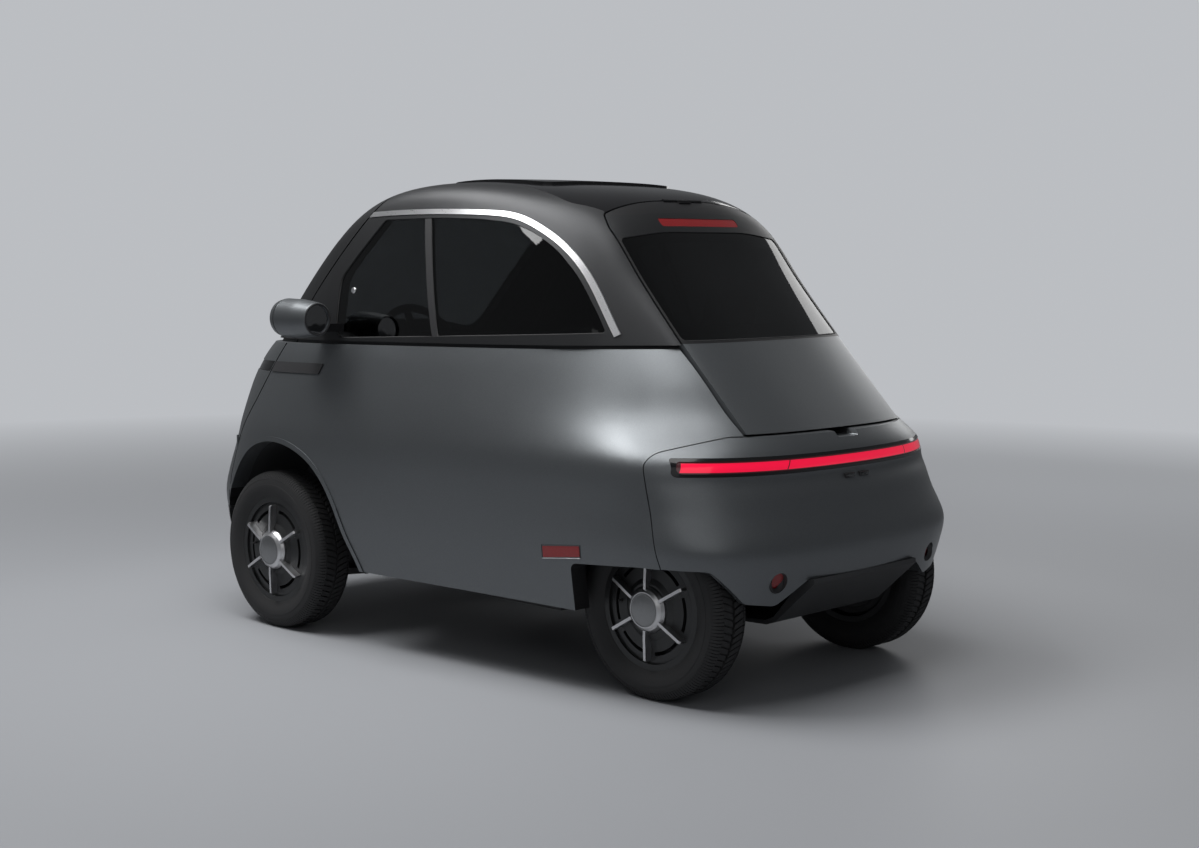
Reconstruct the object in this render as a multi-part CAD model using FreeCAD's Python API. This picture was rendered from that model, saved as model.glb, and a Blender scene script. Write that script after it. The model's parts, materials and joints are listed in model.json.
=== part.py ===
"""Two-seat electric microcar with one front door and a top-hinged rear hatch.

Millimetres, +Z up, +X forward, +Y to the car's left. The origin is on the ground under the
middle of the car. Body outlines are drawn in stations: x forward of the rear axle, y out
from the middle and z up from the ground, at the car's nominal size. sx, sy and sz turn them
into real places, so the body follows the driving sizes below.
"""
import math
import os

import FreeCAD
import Part
from FreeCAD import Vector

# Driving sizes of the car
wheelbase = 1566.0
front_overhang = 563.0
rear_overhang = 390.0
body_width = 1473.0
sill_height = 250.0
belt_height = 984.0
roof_height = 1501.0
front_track = 1282.0
rear_track = 954.0

# Wheels: tyre size 145/70 R13
tyre_radius = 266.5
tyre_width = 145.0
tyre_wall = 8.0
bead_radius = 171.0
rim_width = 112.0
hub_radius = 52.0
cap_radius = 68.0
kingpin_offset = 70.0

# Walls, glass and gaps
side_wall = 60.0
upper_wall = 42.0
glass_depth = 4.0
glass_thickness = 5.0
shut_gap = 6.0
seat_gap = 0.3
deck_gap = 10.0

# Body lattice: nominal stations and the driving sizes that they follow
nominal_x = (-390.0, 0.0, 1566.0, 2129.0)
actual_x = (-rear_overhang, 0.0, wheelbase, wheelbase + front_overhang)
nominal_z = (0.0, 250.0, 984.0, 1501.0)
actual_z = (0.0, sill_height, belt_height, roof_height)
middle_station = (wheelbase + front_overhang - rear_overhang) / 2
belt_rake = 0.025
width_scale = body_width / 1473.0


def between(value, nominal, actual):
    """Maps a nominal coordinate onto the driving sizes, straight between them."""
    last = len(nominal) - 2
    for i in range(last + 1):
        if value <= nominal[i + 1] or i == last:
            share = (value - nominal[i]) / (nominal[i + 1] - nominal[i])
            return actual[i] + share * (actual[i + 1] - actual[i])


def sx(x):
    return between(x, nominal_x, actual_x) - middle_station


def sy(y):
    return y * width_scale


def sz(z):
    return between(z, nominal_z, actual_z)


rear_axle_x = -middle_station
front_axle_x = wheelbase - middle_station
axle_z = tyre_radius


# Solids from nets, outlines and mirrors

def clamped(count):
    """Knots and multiplicities of a clamped cubic with count poles."""
    spans = count - 3
    return list(range(spans + 1)), [4] + [1] * (spans - 1) + [4]


def skin_face(net):
    u_knots, u_mults = clamped(len(net))
    v_knots, v_mults = clamped(len(net[0]))
    surface = Part.BSplineSurface()
    surface.buildFromPolesMultsKnots(net, u_mults, v_mults, u_knots, v_knots, False, False, 3, 3)
    return surface.toShape()


def inset(net, depth, level_rows):
    """Moves the poles of a net inwards by depth. Level rows keep z and arch rows keep x."""
    rows, columns = len(net), len(net[0])
    moved = []
    for i in range(rows):
        row = []
        for j in range(columns):
            along = net[min(i + 1, rows - 1)][j] - net[max(i - 1, 0)][j]
            across = net[i][min(j + 1, columns - 1)] - net[i][max(j - 1, 0)]
            if net[i][j].y < 1e-6:
                across = Vector(0, 1 if j == 0 else -1, 0)
            normal = across.cross(along)
            normal.normalize()
            if level_rows:
                flat = Vector(normal.x, normal.y, 0)
            else:
                flat = Vector(0, normal.y, normal.z if j else 0.0)
            row.append(net[i][j] - flat * (depth / max(flat.Length, 0.4) ** 2))
        moved.append(row)
    return moved


def raked(net):
    """Tilts the level rows of the lower body so that the belt falls towards the front."""
    tilted = []
    for row in net:
        tilt = belt_rake * max(0.0, (row[0].z - sill_height) / (belt_height - sill_height))
        tilted.append([Vector(p.x, p.y, p.z - tilt * p.x) for p in row])
    return tilted


def flat_face(edges):
    return Part.Face(Part.Wire(Part.sortEdges(edges)[0]))


def half_solid(net):
    """Solid between a skin, the planes of its first and last row and the middle plane."""
    skin = skin_face(net)
    u0, u1, v0, v1 = skin.ParameterRange
    surface = skin.Surface
    first, last = surface.uIso(u0).toShape(), surface.uIso(u1).toShape()
    start, end = surface.vIso(v0).toShape(), surface.vIso(v1).toShape()
    a0, b0, a1, b1 = net[0][0], net[0][-1], net[-1][0], net[-1][-1]

    def line(p, q):
        return Part.LineSegment(p, q).toShape()

    if a0.y < 1e-6:
        low, high = line(a0, b0), line(a1, b1)
        faces = [skin, flat_face([first, low]), flat_face([last, high]),
                 flat_face([low, start, high, end])]
    else:
        c0, c1 = Vector(a0.x, 0, a0.z), Vector(a1.x, 0, a1.z)
        keel = line(c0, c1)
        faces = [skin, flat_face([first, line(b0, c0), line(c0, a0)]),
                 flat_face([last, line(b1, c1), line(c1, a1)]),
                 flat_face([start, line(a1, c1), keel, line(c0, a0)]),
                 flat_face([end, line(b1, c1), keel, line(c0, b0)])]
    shell = Part.makeShell(faces)
    shell.sewShape()
    if shell.ShapeType != "Shell":
        shell = shell.Shells[0]
    solid = Part.makeSolid(shell)
    if solid.Volume < 0:
        solid.reverse()
    return solid


def wire(points, place):
    """Closed wire through points (a, b, corner radius), put in space by place(a, b).

    Where two roundings don't fit on the run between them, both are made smaller to share it.
    """
    count = len(points)
    flat = [Vector(p[0], p[1], 0) for p in points]
    turns, reaches = [], []
    for i, p in enumerate(points):
        before = (flat[i - 1] - flat[i]).normalize()
        after = (flat[(i + 1) % count] - flat[i]).normalize()
        half = before.getAngle(after) / 2
        radius = p[2] if len(p) > 2 else 0
        turns.append((before, after, half))
        reaches.append(radius / math.tan(half) if radius else 0.0)
    shares = [1.0] * count
    for i in range(count):
        following = (i + 1) % count
        run, wanted = (flat[following] - flat[i]).Length, reaches[i] + reaches[following]
        if wanted > run:
            shares[i] = min(shares[i], run / wanted)
            shares[following] = min(shares[following], run / wanted)
    edges, joints = [], []
    for i, (before, after, half) in enumerate(turns):
        reach = reaches[i] * shares[i]
        if reach:
            radius = reach * math.tan(half)
            bisector = (before + after).normalize()
            middle = flat[i] + bisector * (radius / math.sin(half) - radius)
            joints.append((flat[i] + before * reach, middle, flat[i] + after * reach))
        else:
            joints.append((flat[i], None, flat[i]))
    for i, (start, middle, end) in enumerate(joints):
        if middle:
            arc = [place(q.x, q.y) for q in (start, middle, end)]
            edges.append(Part.Arc(*arc).toShape())
        following = joints[(i + 1) % count][0]
        if (following - end).Length > 1e-4:
            edges.append(Part.LineSegment(place(end.x, end.y),
                                          place(following.x, following.y)).toShape())
    return Part.Wire(edges)


def grown(points, distance):
    """Outline moved outwards by distance, corner by corner, with its radii kept round."""
    count = len(points)
    area = sum(points[i - 1][0] * points[i][1] - points[i][0] * points[i - 1][1]
               for i in range(count))
    side = 1 if area > 0 else -1
    moved = []
    for i, p in enumerate(points):
        q, r = points[i - 1], points[(i + 1) % count]
        before = Vector(p[0] - q[0], p[1] - q[1], 0).normalize()
        after = Vector(r[0] - p[0], r[1] - p[1], 0).normalize()
        normal = Vector(before.y + after.y, -before.x - after.x, 0).normalize() * side
        reach = distance / max(0.3, normal.dot(Vector(before.y, -before.x, 0) * side))
        radius = p[2] if len(p) > 2 else 0
        if radius:
            turn = (before.x * after.y - before.y * after.x) * side
            radius = max(0.5, radius + (distance if turn > 0 else -distance))
        moved.append((p[0] + normal.x * reach, p[1] + normal.y * reach, radius))
    return moved


def prism_y(points, low, high):
    """Side-view outline in stations (x, z, radius), pushed across from y low to high."""
    real = [(sx(p[0]), sz(p[1])) + tuple(p[2:]) for p in points]
    face = Part.Face(wire(real, lambda a, b: Vector(a, low, b)))
    return face.extrude(Vector(0, high - low, 0))


def arch_prism(points, low, high):
    """Smooth side-view arch in stations, open at its foot, pushed across from y low to high."""
    real = [Vector(sx(p[0]), low, sz(p[1])) for p in points]
    curve = Part.BSplineCurve()
    curve.interpolate(real)
    foot = [Vector(real[-1].x, low, 60), Vector(real[0].x, low, 60)]
    edges = [curve.toShape(), Part.LineSegment(real[-1], foot[0]).toShape(),
             Part.LineSegment(foot[0], foot[1]).toShape(), Part.LineSegment(foot[1], real[0]).toShape()]
    return Part.Face(Part.Wire(edges)).extrude(Vector(0, high - low, 0))


def prism_z(points, low, high):
    """Plan-view outline in stations (x, y, radius), pushed up from z low to high."""
    real = [(sx(p[0]), sy(p[1])) + tuple(p[2:]) for p in points]
    face = Part.Face(wire(real, lambda a, b: Vector(a, b, low)))
    return face.extrude(Vector(0, 0, high - low))


def prism_x(points, low, high):
    """End-view outline in real (y, z, radius), pushed forward from x low to high."""
    face = Part.Face(wire(points, lambda a, b: Vector(low, a, b)))
    return face.extrude(Vector(high - low, 0, 0))


def block(x0, x1, y0, y1, z0, z1):
    return Part.makeBox(x1 - x0, y1 - y0, z1 - z0, Vector(x0, y0, z0))


def drum(radius, low, high, x, z, axis="y", across=0.0):
    """Cylinder along y (or x or z) from low to high."""
    if axis == "y":
        return Part.makeCylinder(radius, high - low, Vector(x, low, z), Vector(0, 1, 0))
    if axis == "x":
        return Part.makeCylinder(radius, high - low, Vector(low, across, z), Vector(1, 0, 0))
    return Part.makeCylinder(radius, high - low, Vector(x, across, low), Vector(0, 0, 1))


def mirrored(shape):
    return shape.mirror(Vector(0, 0, 0), Vector(0, 1, 0))


def whole(half):
    """Both halves of a piece that crosses the middle, as one solid."""
    return solids(half.fuse(mirrored(half)).removeSplitter())


def both(half):
    """A piece and its twin on the other side, as two solids in one node."""
    return Part.makeCompound([half, mirrored(half)])


def solids(shape, keep=None):
    """The solid of a boolean result, or its largest ones where keep says how many."""
    found = sorted(shape.Solids, key=lambda s: -s.Volume)
    if keep:
        found = found[:keep]
    return found[0] if len(found) == 1 else Part.makeCompound(found)


# Lower body skin: a level row of poles at each height, front middle round to rear middle.
# Nose x, nose corner x and y, side y at the front wheel, middle and rear, then the rear
# shoulder x and y, the rear corner x and y, and the tail x and y of its flat middle.
lower_rows = [
    # z, nose, corner x, y, front, middle, rear, shoulder x, y, corner x, y, tail x, y
    (200.0, 2046.0, 1996.0, 540.0, 718.0, 664.0, 640.0, -20.0, 630.0, -234.0, 564.0, -335.0, 332.0),
    (300.0, 2086.0, 2036.0, 540.0, 738.0, 684.0, 655.0, -31.0, 646.0, -260.0, 582.0, -356.0, 346.0),
    (405.0, 2118.0, 2060.0, 540.0, 750.0, 699.0, 668.0, -44.0, 664.0, -282.0, 604.0, -386.0, 364.0),
    (462.0, 2126.0, 2062.0, 535.0, 750.0, 705.0, 672.0, -46.0, 669.0, -288.0, 617.0, -390.0, 374.0),
    (540.0, 2130.0, 2040.0, 515.0, 750.0, 712.0, 676.0, -32.0, 666.0, -222.0, 596.0, -362.0, 356.0),
    (600.0, 2126.0, 2020.0, 494.0, 748.0, 716.0, 679.0, -26.0, 669.0, -195.0, 595.0, -347.0, 356.0),
    (635.0, 2120.0, 2012.0, 482.0, 745.0, 718.0, 680.0, -22.0, 670.0, -176.0, 591.0, -318.0, 354.0),
    (668.0, 2112.0, 2004.0, 478.0, 741.0, 717.0, 678.0, -17.0, 667.0, -170.0, 593.0, -334.0, 358.0),
    (705.0, 2102.0, 1996.0, 480.0, 735.0, 715.0, 673.0, -2.0, 655.0, -150.0, 583.0, -322.0, 350.0),
    (790.0, 2066.0, 1971.0, 492.0, 708.0, 700.0, 645.0, 76.0, 592.0, -80.0, 480.0, -252.0, 276.0),
    (880.0, 2006.0, 1940.0, 495.0, 680.0, 676.0, 612.0, 118.0, 545.0, -38.0, 458.0, -160.0, 286.0),
    (950.0, 1940.0, 1884.0, 500.0, 660.0, 658.0, 588.0, 170.0, 518.0, 20.0, 440.0, -88.0, 284.0),
    (984.0, 1902.0, 1846.0, 500.0, 645.0, 646.0, 575.0, 192.0, 504.0, 50.0, 430.0, -52.0, 280.0),
]


def lower_net(depth):
    net = []
    for z, nose, cx, cy, front, middle, rear, hx, hy, kx, ky, tail, ty in lower_rows:
        row = [(nose, 0.0), (nose, 0.60 * cy), (cx, cy), (cx - 175.0, 0.925 * front), (1560.0, front),
               (1180.0, 0.5 * (front + middle)), (760.0, middle), (340.0, rear), (hx, hy),
               (kx, ky), (tail, ty), (tail, 0.0)]
        net.append([Vector(sx(x), sy(y), sz(z)) for x, y in row])
    return raked(inset(net, depth, True) if depth else net)


# Upper body skin: one arch of poles at each station, from below the belt up to the middle
upper_rows = [
    # x, z of the middle, fall at the corner, y at the belt, y of the corner
    (-330.0, 700.0, 42.0, 470.0, 380.0),
    (-245.0, 788.0, 42.0, 470.0, 380.0),
    (-120.0, 918.0, 42.0, 470.0, 380.0),
    (0.0, 1046.0, 42.0, 470.0, 380.0),
    (110.0, 1166.0, 42.0, 500.0, 378.0),
    (215.0, 1284.0, 42.0, 545.0, 376.0),
    (290.0, 1392.0, 46.0, 575.0, 378.0),
    (385.0, 1470.0, 52.0, 600.0, 388.0),
    (600.0, 1498.0, 28.0, 626.0, 430.0),
    (850.0, 1508.0, 6.0, 636.0, 470.0),
    (1100.0, 1502.0, 4.0, 638.0, 492.0),
    (1300.0, 1462.0, 18.0, 638.0, 508.0),
    (1460.0, 1346.0, 38.0, 630.0, 520.0),
    (1640.0, 1178.0, 52.0, 606.0, 522.0),
    (1800.0, 1030.0, 60.0, 560.0, 500.0),
    (1960.0, 880.0, 72.0, 500.0, 450.0),
    (2080.0, 770.0, 72.0, 440.0, 410.0),
]
upper_base = 420.0


def upper_net(depth):
    net = []
    for x, top, fall, belt, corner in upper_rows:
        belt_rise = min(nominal_z[2], upper_base + 0.6 * (top - upper_base))
        rise = top - fall - belt_rise
        row = [(belt + 20.0, upper_base), (belt + 10.0, 0.5 * (upper_base + belt_rise)),
               (belt, belt_rise), (belt + 0.28 * (corner - belt), belt_rise + 0.42 * rise),
               (belt + 0.72 * (corner - belt), belt_rise + 0.86 * rise),
               (corner, top - fall), (0.62 * corner, top - 0.18 * fall),
               (0.30 * corner, top), (0.0, top)]
        net.append([Vector(sx(x), sy(y), sz(z)) for y, z in row])
    return inset(net, depth, False) if depth else net


def belt_plane_z(x):
    return belt_height - belt_rake * x


def below_belt(drop):
    """Space under the raked belt plane, drop below it, on the left side."""
    x0, x1 = -1500.0, 1500.0
    points = [(x0, 100.0), (x1, 100.0), (x1, belt_plane_z(x1) - drop),
              (x0, belt_plane_z(x0) - drop)]
    face = Part.Face(wire(points, lambda a, b: Vector(a, 0, b)))
    return face.extrude(Vector(0, 900, 0))


# Side-view outlines in stations
door_line = [(1058.0, 1604.0), (1500.0, 1112.0, 300.0), (1690.0, 771.0, 300.0),
             (1790.0, 629.0, 100.0), (1838.0, 500.0, 60.0), (1850.0, 380.0)]
door_region = door_line + [(2400.0, door_line[-1][1]), (2400.0, door_line[0][1])]
tail_region = [(-600.0, 100.0), (-190.0, 100.0), (-128.0, 420.0), (-52.0, 720.0, 38.0),
               (-190.0, 768.0), (-600.0, 768.0)]
front_arch = [(1100.0, 180.0), (1112.0, 253.0), (1162.0, 351.0), (1212.0, 458.0), (1312.0, 578.0),
              (1423.0, 628.0), (1545.0, 640.0), (1668.0, 606.0), (1772.0, 520.0), (1850.0, 402.0),
              (1893.0, 290.0), (1908.0, 180.0)]
rear_opening = [(190.0, 120.0), (192.0, 391.0, 22.0), (-60.0, 409.0, 200.0), (-600.0, 412.0),
                (-600.0, 120.0)]
window_line = [(1318.0, 992.0, 40.0), (1330.0, 1190.0, 60.0), (1160.0, 1380.0, 22.0),
               (905.0, 1386.0, 2000.0), (742.0, 1382.0, 1200.0), (612.0, 1370.0, 360.0),
               (518.0, 1338.0, 500.0), (421.0, 1286.0, 470.0), (322.0, 1205.0, 440.0),
               (241.0, 1096.0, 600.0), (211.0, 1046.0, 8.0)]
trim_line = [(1262.0, 1395.0), (1080.0, 1403.0), (905.0, 1405.0), (740.0, 1402.0),
             (607.0, 1389.0), (510.0, 1355.0), (410.0, 1302.0), (308.0, 1218.0),
             (224.0, 1105.0), (181.0, 1041.0)]

# Plan-view outlines in stations
hatch_line = [(-700.0, 376.0), (-204.0, 376.0, 40.0), (29.0, 381.0, 300.0),
              (318.0, 379.0, 50.0), (360.0, 358.0, 18.0), (361.0, 100.0)]

# End-view outlines: y and z
glass_line = [(372.0, 1026.0, 12.0), (370.0, 1324.0, 20.0), (200.0, 1345.0, 900.0)]
rear_view_line = [(340.0, 1064.0, 30.0), (336.0, 1294.0, 30.0), (200.0, 1311.0, 900.0)]
roof_line = [(250.0, 349.0), (372.0, 349.0), (470.0, 392.0, 90.0), (595.0, 380.0, 300.0),
             (760.0, 354.0, 300.0), (1180.0, 352.0, 40.0)]
sunroof_line = [(650.0, 306.0, 70.0), (1120.0, 312.0, 70.0)]
screen_line = [(1285.0, 405.0, 40.0), (1805.0, 430.0, 50.0)]


def doubled(line):
    """Plan outline of a middle piece: the left side's points, then their mirror images."""
    right = [(p[0], -p[1]) + tuple(p[2:]) for p in reversed(line)]
    return line + right


belt_groove = 11.0
groove_depth = 12.0
seam_width = 3.0
seam_depth = 5.0
door_hinge_x = 1800.0
door_hinge_y = 679.0
door_hinge_z = 600.0
door_pin = 4.0
hinge_span = 180.0
hatch_knuckle = 5.5
hatch_pin = 2.5
hatch_seam = 14.0
arch_lip = 16.0
lip_rise = 3.0
steering_lean = 26.0
column_shaft = 9.0
marker_line = [(152.0, 414.0, 4.0), (298.0, 396.0, 4.0), (298.0, 430.0, 4.0), (152.0, 446.0, 4.0)]
strip_line = [(1343.0, 874.0, 3.0), (1627.0, 868.0, 3.0), (1609.0, 903.0, 3.0), (1327.0, 909.0, 3.0)]
lamp_strip = [(1644.0, 867.0), (2300.0, 852.0), (2300.0, 888.0), (1624.0, 902.0)]
trim_width = 16.0
divider_line = [(793.0, 940.0), (816.0, 940.0), (994.0, 1440.0), (968.0, 1440.0)]
pod_line = [(1228.0, 54.0, 4.0), (1300.0, 62.5, 150.0), (1378.0, 64.0), (1378.0, 60.0),
            (1382.0, 60.0), (1382.0, 63.5), (1407.0, 58.0, 6.0)]
pod_arm = [(1262.0, 560.0), (1408.0, 560.0), (1372.0, 745.0, 10.0), (1296.0, 745.0, 10.0)]
pod_y = 768.0
pod_z = 1060.0
tail_edge = [(0.0, 100.0), (900.0, 100.0), (900.0, 411.0), (568.0, 411.0, 30.0), (468.0, 312.0, 40.0),
             (370.0, 298.0, 40.0), (262.0, 366.0, 25.0), (0.0, 366.0)]
reflector_y = 375.0
reflector_z = 366.0
reflector_radius = 30.0


def bar_outline(growth):
    """End-view outline of the tail lamp well, full width."""
    z0, z1, tip = sz(664) - growth, sz(716) + growth, sy(600) + growth
    return [(-tip, z0, 12), (tip, z0, 12), (tip - 14, z1, 12), (-tip + 14, z1, 12)]


def lamp_outline(growth):
    z0, z1, tip = sz(1362) - growth, sz(1386) + growth, sy(184) + growth
    return [(-tip, z0, 8), (tip, z0, 8), (tip, z1, 8), (-tip, z1, 8)]


def reflector_drum(growth):
    return drum(reflector_radius + growth, -1500, sx(-160), 0, sz(reflector_z), "x", sy(reflector_y))


def band_prism(line, half, low, high):
    """Smooth band along a side-view line, half its width each way, from y low to high."""
    real = [Vector(sx(p[0]), low, sz(p[1])) for p in line]
    upper, lower = [], []
    for i, p in enumerate(real):
        run = (real[min(i + 1, len(real) - 1)] - real[max(i - 1, 0)]).normalize()
        across = Vector(-run.z, 0, run.x) * half
        upper.append(p + across)
        lower.append(p - across)
    edges = []
    for side in (upper, lower):
        curve = Part.BSplineCurve()
        curve.interpolate(side)
        edges.append(curve.toShape())
    for i in (0, -1):
        edges.append(Part.LineSegment(upper[i], lower[i]).toShape())
    return flat_face(edges).extrude(Vector(0, high - low, 0))


def facing(line):
    """End-view outline of a middle piece in real sizes, from the left side's points."""
    left = [(sy(p[0]), sz(p[1])) + tuple(p[2:]) for p in line]
    return left + [(-p[0],) + tuple(p[1:]) for p in reversed(left)]


def skin_layer(net_of, outer, inner, tool):
    """Part of a skin between two depths that lies inside a tool, on the left side."""
    return half_solid(net_of(outer)).cut(half_solid(net_of(inner))).common(tool)


def body():
    """Outer panels, frames, glass and lamps."""
    lower_out, lower_in = half_solid(lower_net(0)), half_solid(lower_net(side_wall))
    upper_out, upper_in = half_solid(upper_net(0)), half_solid(upper_net(upper_wall))
    glass_skin = half_solid(upper_net(glass_depth)).cut(
        half_solid(upper_net(glass_depth + glass_thickness)))
    under = below_belt(0.0)
    floor_cut = block(-1500, 1500, 0, 900, 0, sill_height)
    lower_ring = lower_out.cut(lower_in).common(under).cut(floor_cut)
    upper_ring = upper_out.cut(upper_in)
    groove = half_solid(upper_net(-12)).cut(half_solid(upper_net(groove_depth))).common(
        below_belt(-belt_groove))
    frame_ring = upper_ring.cut(below_belt(-seat_gap)).cut(groove)

    door_cut = prism_y(grown(door_region, shut_gap / 2), -900, 900)
    door_tool = prism_y(grown(door_region, -shut_gap / 2), -900, 900)
    tail_cut = prism_y(grown(tail_region, seat_gap / 2), -900, 900)
    tail_tool = prism_y(grown(tail_region, -seat_gap / 2), -900, 900)
    hatch_cut = prism_z(grown(doubled(hatch_line), shut_gap / 2), sz(768), 1700)
    hatch_tool = prism_z(grown(doubled(hatch_line), -shut_gap / 2), sz(774), 1700)
    arch = arch_prism(front_arch, 300, 900)
    rear_arch = prism_y(rear_opening, 0, 900)
    tail_under = prism_x(tail_edge, -1500, sx(-120))

    marker_cut = half_solid(lower_net(-5)).cut(half_solid(lower_net(6))).common(
        prism_y(marker_line, 0, 900))
    strip_cut = half_solid(lower_net(-5)).cut(half_solid(lower_net(6))).common(
        prism_y(strip_line, 0, 900))
    lip = skin_layer(lower_net, -lip_rise, 14.0, arch_prism(grown(front_arch, arch_lip), 300, 900))
    lip = lip.cut(floor_cut)
    ring = lower_ring.fuse(lip).cut(arch)
    seam = prism_y(grown(tail_region, seam_width / 2), 0, 900).cut(
        prism_y(grown(tail_region, -seam_width / 2), 0, 900))
    seam = half_solid(lower_net(-5)).cut(half_solid(lower_net(seam_depth))).common(seam)
    side = ring.cut(Part.makeCompound([door_cut, tail_cut])).cut(hatch_cut).cut(rear_arch)
    valance_cut = block(sx(1840), 2000, -900, 900, 0, sz(374))
    valance = solids(side.common(valance_cut), 1)
    side = solids(side.cut(valance_cut), 1).cut(marker_cut).cut(strip_cut).cut(seam)

    bar_cut = prism_x(bar_outline(0.0), -1500, sx(-60))
    bar_well = half_solid(lower_net(-5)).cut(half_solid(lower_net(24))).common(bar_cut)
    reflector_well = half_solid(lower_net(-5)).cut(half_solid(lower_net(26))).common(
        reflector_drum(0.0))
    tail = lower_ring.common(tail_tool).cut(hatch_cut).cut(tail_under)
    notch = prism_x([(-48, sz(750), 5), (48, sz(750), 5), (58, sz(790)), (-58, sz(790))],
                    -1500, sx(-100))
    tail = tail.cut(bar_well).cut(reflector_well).cut(seam).cut(notch)
    tail = tail.cut(drum(tyre_radius + 14, sy(380), rear_track / 2 + tyre_width / 2 + 12,
                         rear_axle_x, axle_z))
    lamp_tool = prism_y(lamp_strip, -900, 900)
    lamp_well = half_solid(lower_net(-5)).cut(half_solid(lower_net(12))).common(lamp_tool)
    door = ring.common(door_tool).cut(lamp_well)
    parts = {
        "side_panels": both(solids(side)),
        "tail_panel": whole(solids(tail, 1)),
        "door_panel": whole(solids(door, 1)),
        "front_valance": whole(valance),
        "front_light": whole(solids(skin_layer(
            lower_net, 2, 11.7, prism_y(grown(lamp_strip, -seat_gap), -900, 900)))),
    }
    lens_tool = prism_x(bar_outline(-9.0), -1500, sx(-60))
    bezel_tool = prism_x(bar_outline(-seat_gap), -1500, sx(-60))
    parts["tail_bezel"] = whole(solids(skin_layer(lower_net, 0, 23.7, bezel_tool).cut(
        half_solid(lower_net(-5)).cut(half_solid(lower_net(14))).common(lens_tool))))
    parts["tail_lens"] = whole(solids(skin_layer(
        lower_net, 3, 13.7, prism_x(bar_outline(-9.0 - seat_gap), -1500, sx(-60)))))
    rear_reflector = solids(skin_layer(lower_net, 14, 25.7, reflector_drum(-seat_gap)))
    side_reflector = solids(skin_layer(
        lower_net, -1.5, 5.7, prism_y(grown(marker_line, -seat_gap), 0, 900)))
    parts["reflectors"] = Part.makeCompound([rear_reflector, mirrored(rear_reflector),
                                             side_reflector, mirrored(side_reflector)])
    parts["side_strips"] = both(solids(skin_layer(
        lower_net, -3.5, 5.7, prism_y(grown(strip_line, -seat_gap), 0, 900))))

    window_tool = prism_y(window_line, -900, 900)
    roof_cut = prism_z(doubled(roof_line), 1200, 1700)
    trim_tool = band_prism(trim_line, trim_width / 2 + seat_gap, -900, 900)
    trim_well = half_solid(upper_net(-5)).cut(half_solid(upper_net(4))).common(trim_tool)
    frame = frame_ring.cut(door_cut).cut(hatch_cut).cut(window_tool).cut(roof_cut).cut(trim_well)
    parts["roof_frame"] = whole(solids(frame, 1))
    parts["window_trims"] = both(solids(skin_layer(
        upper_net, -2.5, 3.7, band_prism(trim_line, trim_width / 2, 0, 900)).cut(door_cut), 1))
    parts["roof_panel"] = whole(solids(upper_out.cut(half_solid(upper_net(26.0))).common(
        prism_z(grown(doubled(roof_line), -seat_gap), 1200, 1700)).cut(hatch_cut).cut(door_cut), 1))
    parts["sunroof"] = whole(solids(skin_layer(
        upper_net, -9.0, -seat_gap, prism_z(doubled(sunroof_line), 1200, 1700))))
    bar_line = prism_y(divider_line, 0, 900)
    side_glass = glass_skin.common(prism_y(grown(window_line, -seat_gap), 0, 900)).cut(
        prism_y(grown(divider_line, seat_gap), 0, 900))
    panes = sorted(side_glass.Solids, key=lambda pane: -pane.Volume)[:2]
    parts["side_glass"] = Part.makeCompound(panes + [mirrored(pane) for pane in panes])
    parts["window_dividers"] = both(solids(skin_layer(
        upper_net, 1.5, 20.0, bar_line.common(prism_y(grown(window_line, -seat_gap), 0, 900)))))

    screen_cut = prism_z(doubled(screen_line), 700, 1700)
    door_frame = frame_ring.common(door_tool).cut(screen_cut)
    parts["door_frame"] = whole(solids(door_frame, 1))
    add_door_hinge(parts)
    parts["windscreen"] = whole(solids(glass_skin.common(
        prism_z(grown(doubled(screen_line), -seat_gap), 700, 1700))))

    hatch = upper_ring.common(hatch_tool)
    glass_well = half_solid(upper_net(-5)).cut(half_solid(upper_net(8.0 + seat_gap))).common(
        prism_x(facing(glass_line), -1500, sx(500)))
    rear_cut = prism_x(facing(rear_view_line), -1500, sx(500))
    lamp_tool = prism_x(lamp_outline(0.0), -1500, sx(500))
    lamp_well = half_solid(upper_net(-5)).cut(half_solid(upper_net(14))).common(lamp_tool)
    hatch_low = hatch.common(below_belt(-hatch_seam))
    parts["hatch_panel"] = whole(solids(hatch_low, 1))
    hatch_high = hatch.cut(below_belt(-hatch_seam - seat_gap)).cut(rear_cut)
    parts["hatch_frame"] = whole(solids(hatch_high.cut(glass_well).cut(lamp_well), 1))
    add_hatch_hinge(parts, upper_out)
    parts["brake_lamp"] = whole(solids(skin_layer(
        upper_net, 1, 13.7, prism_x(lamp_outline(-seat_gap), -1500, sx(500)))))
    parts["rear_glass"] = whole(solids(skin_layer(
        upper_net, 3.0, 8.0, prism_x(grown(facing(glass_line), -seat_gap), -1500, sx(500)))))
    return parts


def add_door_hinge(parts):
    """Lift-off hinge on the left: a pin in the side panel's front end, a bore in the door."""
    x, y, z = sx(door_hinge_x), sy(door_hinge_y), sz(door_hinge_z)
    pin = drum(door_pin, z - 45, z + 38, x, 0, "z", y)
    left, right = sorted(parts["side_panels"].Solids, key=lambda s: -s.CenterOfMass.y)
    parts["side_panels"] = Part.makeCompound([solids(left.fuse(pin), 1), right])
    door = parts["door_panel"].cut(drum(door_pin + 0.05, z - 60, z + 39, x, 0, "z", y))
    parts["door_panel"] = solids(door, 1)


def skin_top(solid, x):
    """Height of a half body's outer skin on the middle line at x."""
    ray = Part.LineSegment(Vector(x, 2, 900), Vector(x, 2, 1700)).toShape()
    return solid.common(ray).BoundBox.ZMax


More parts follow.
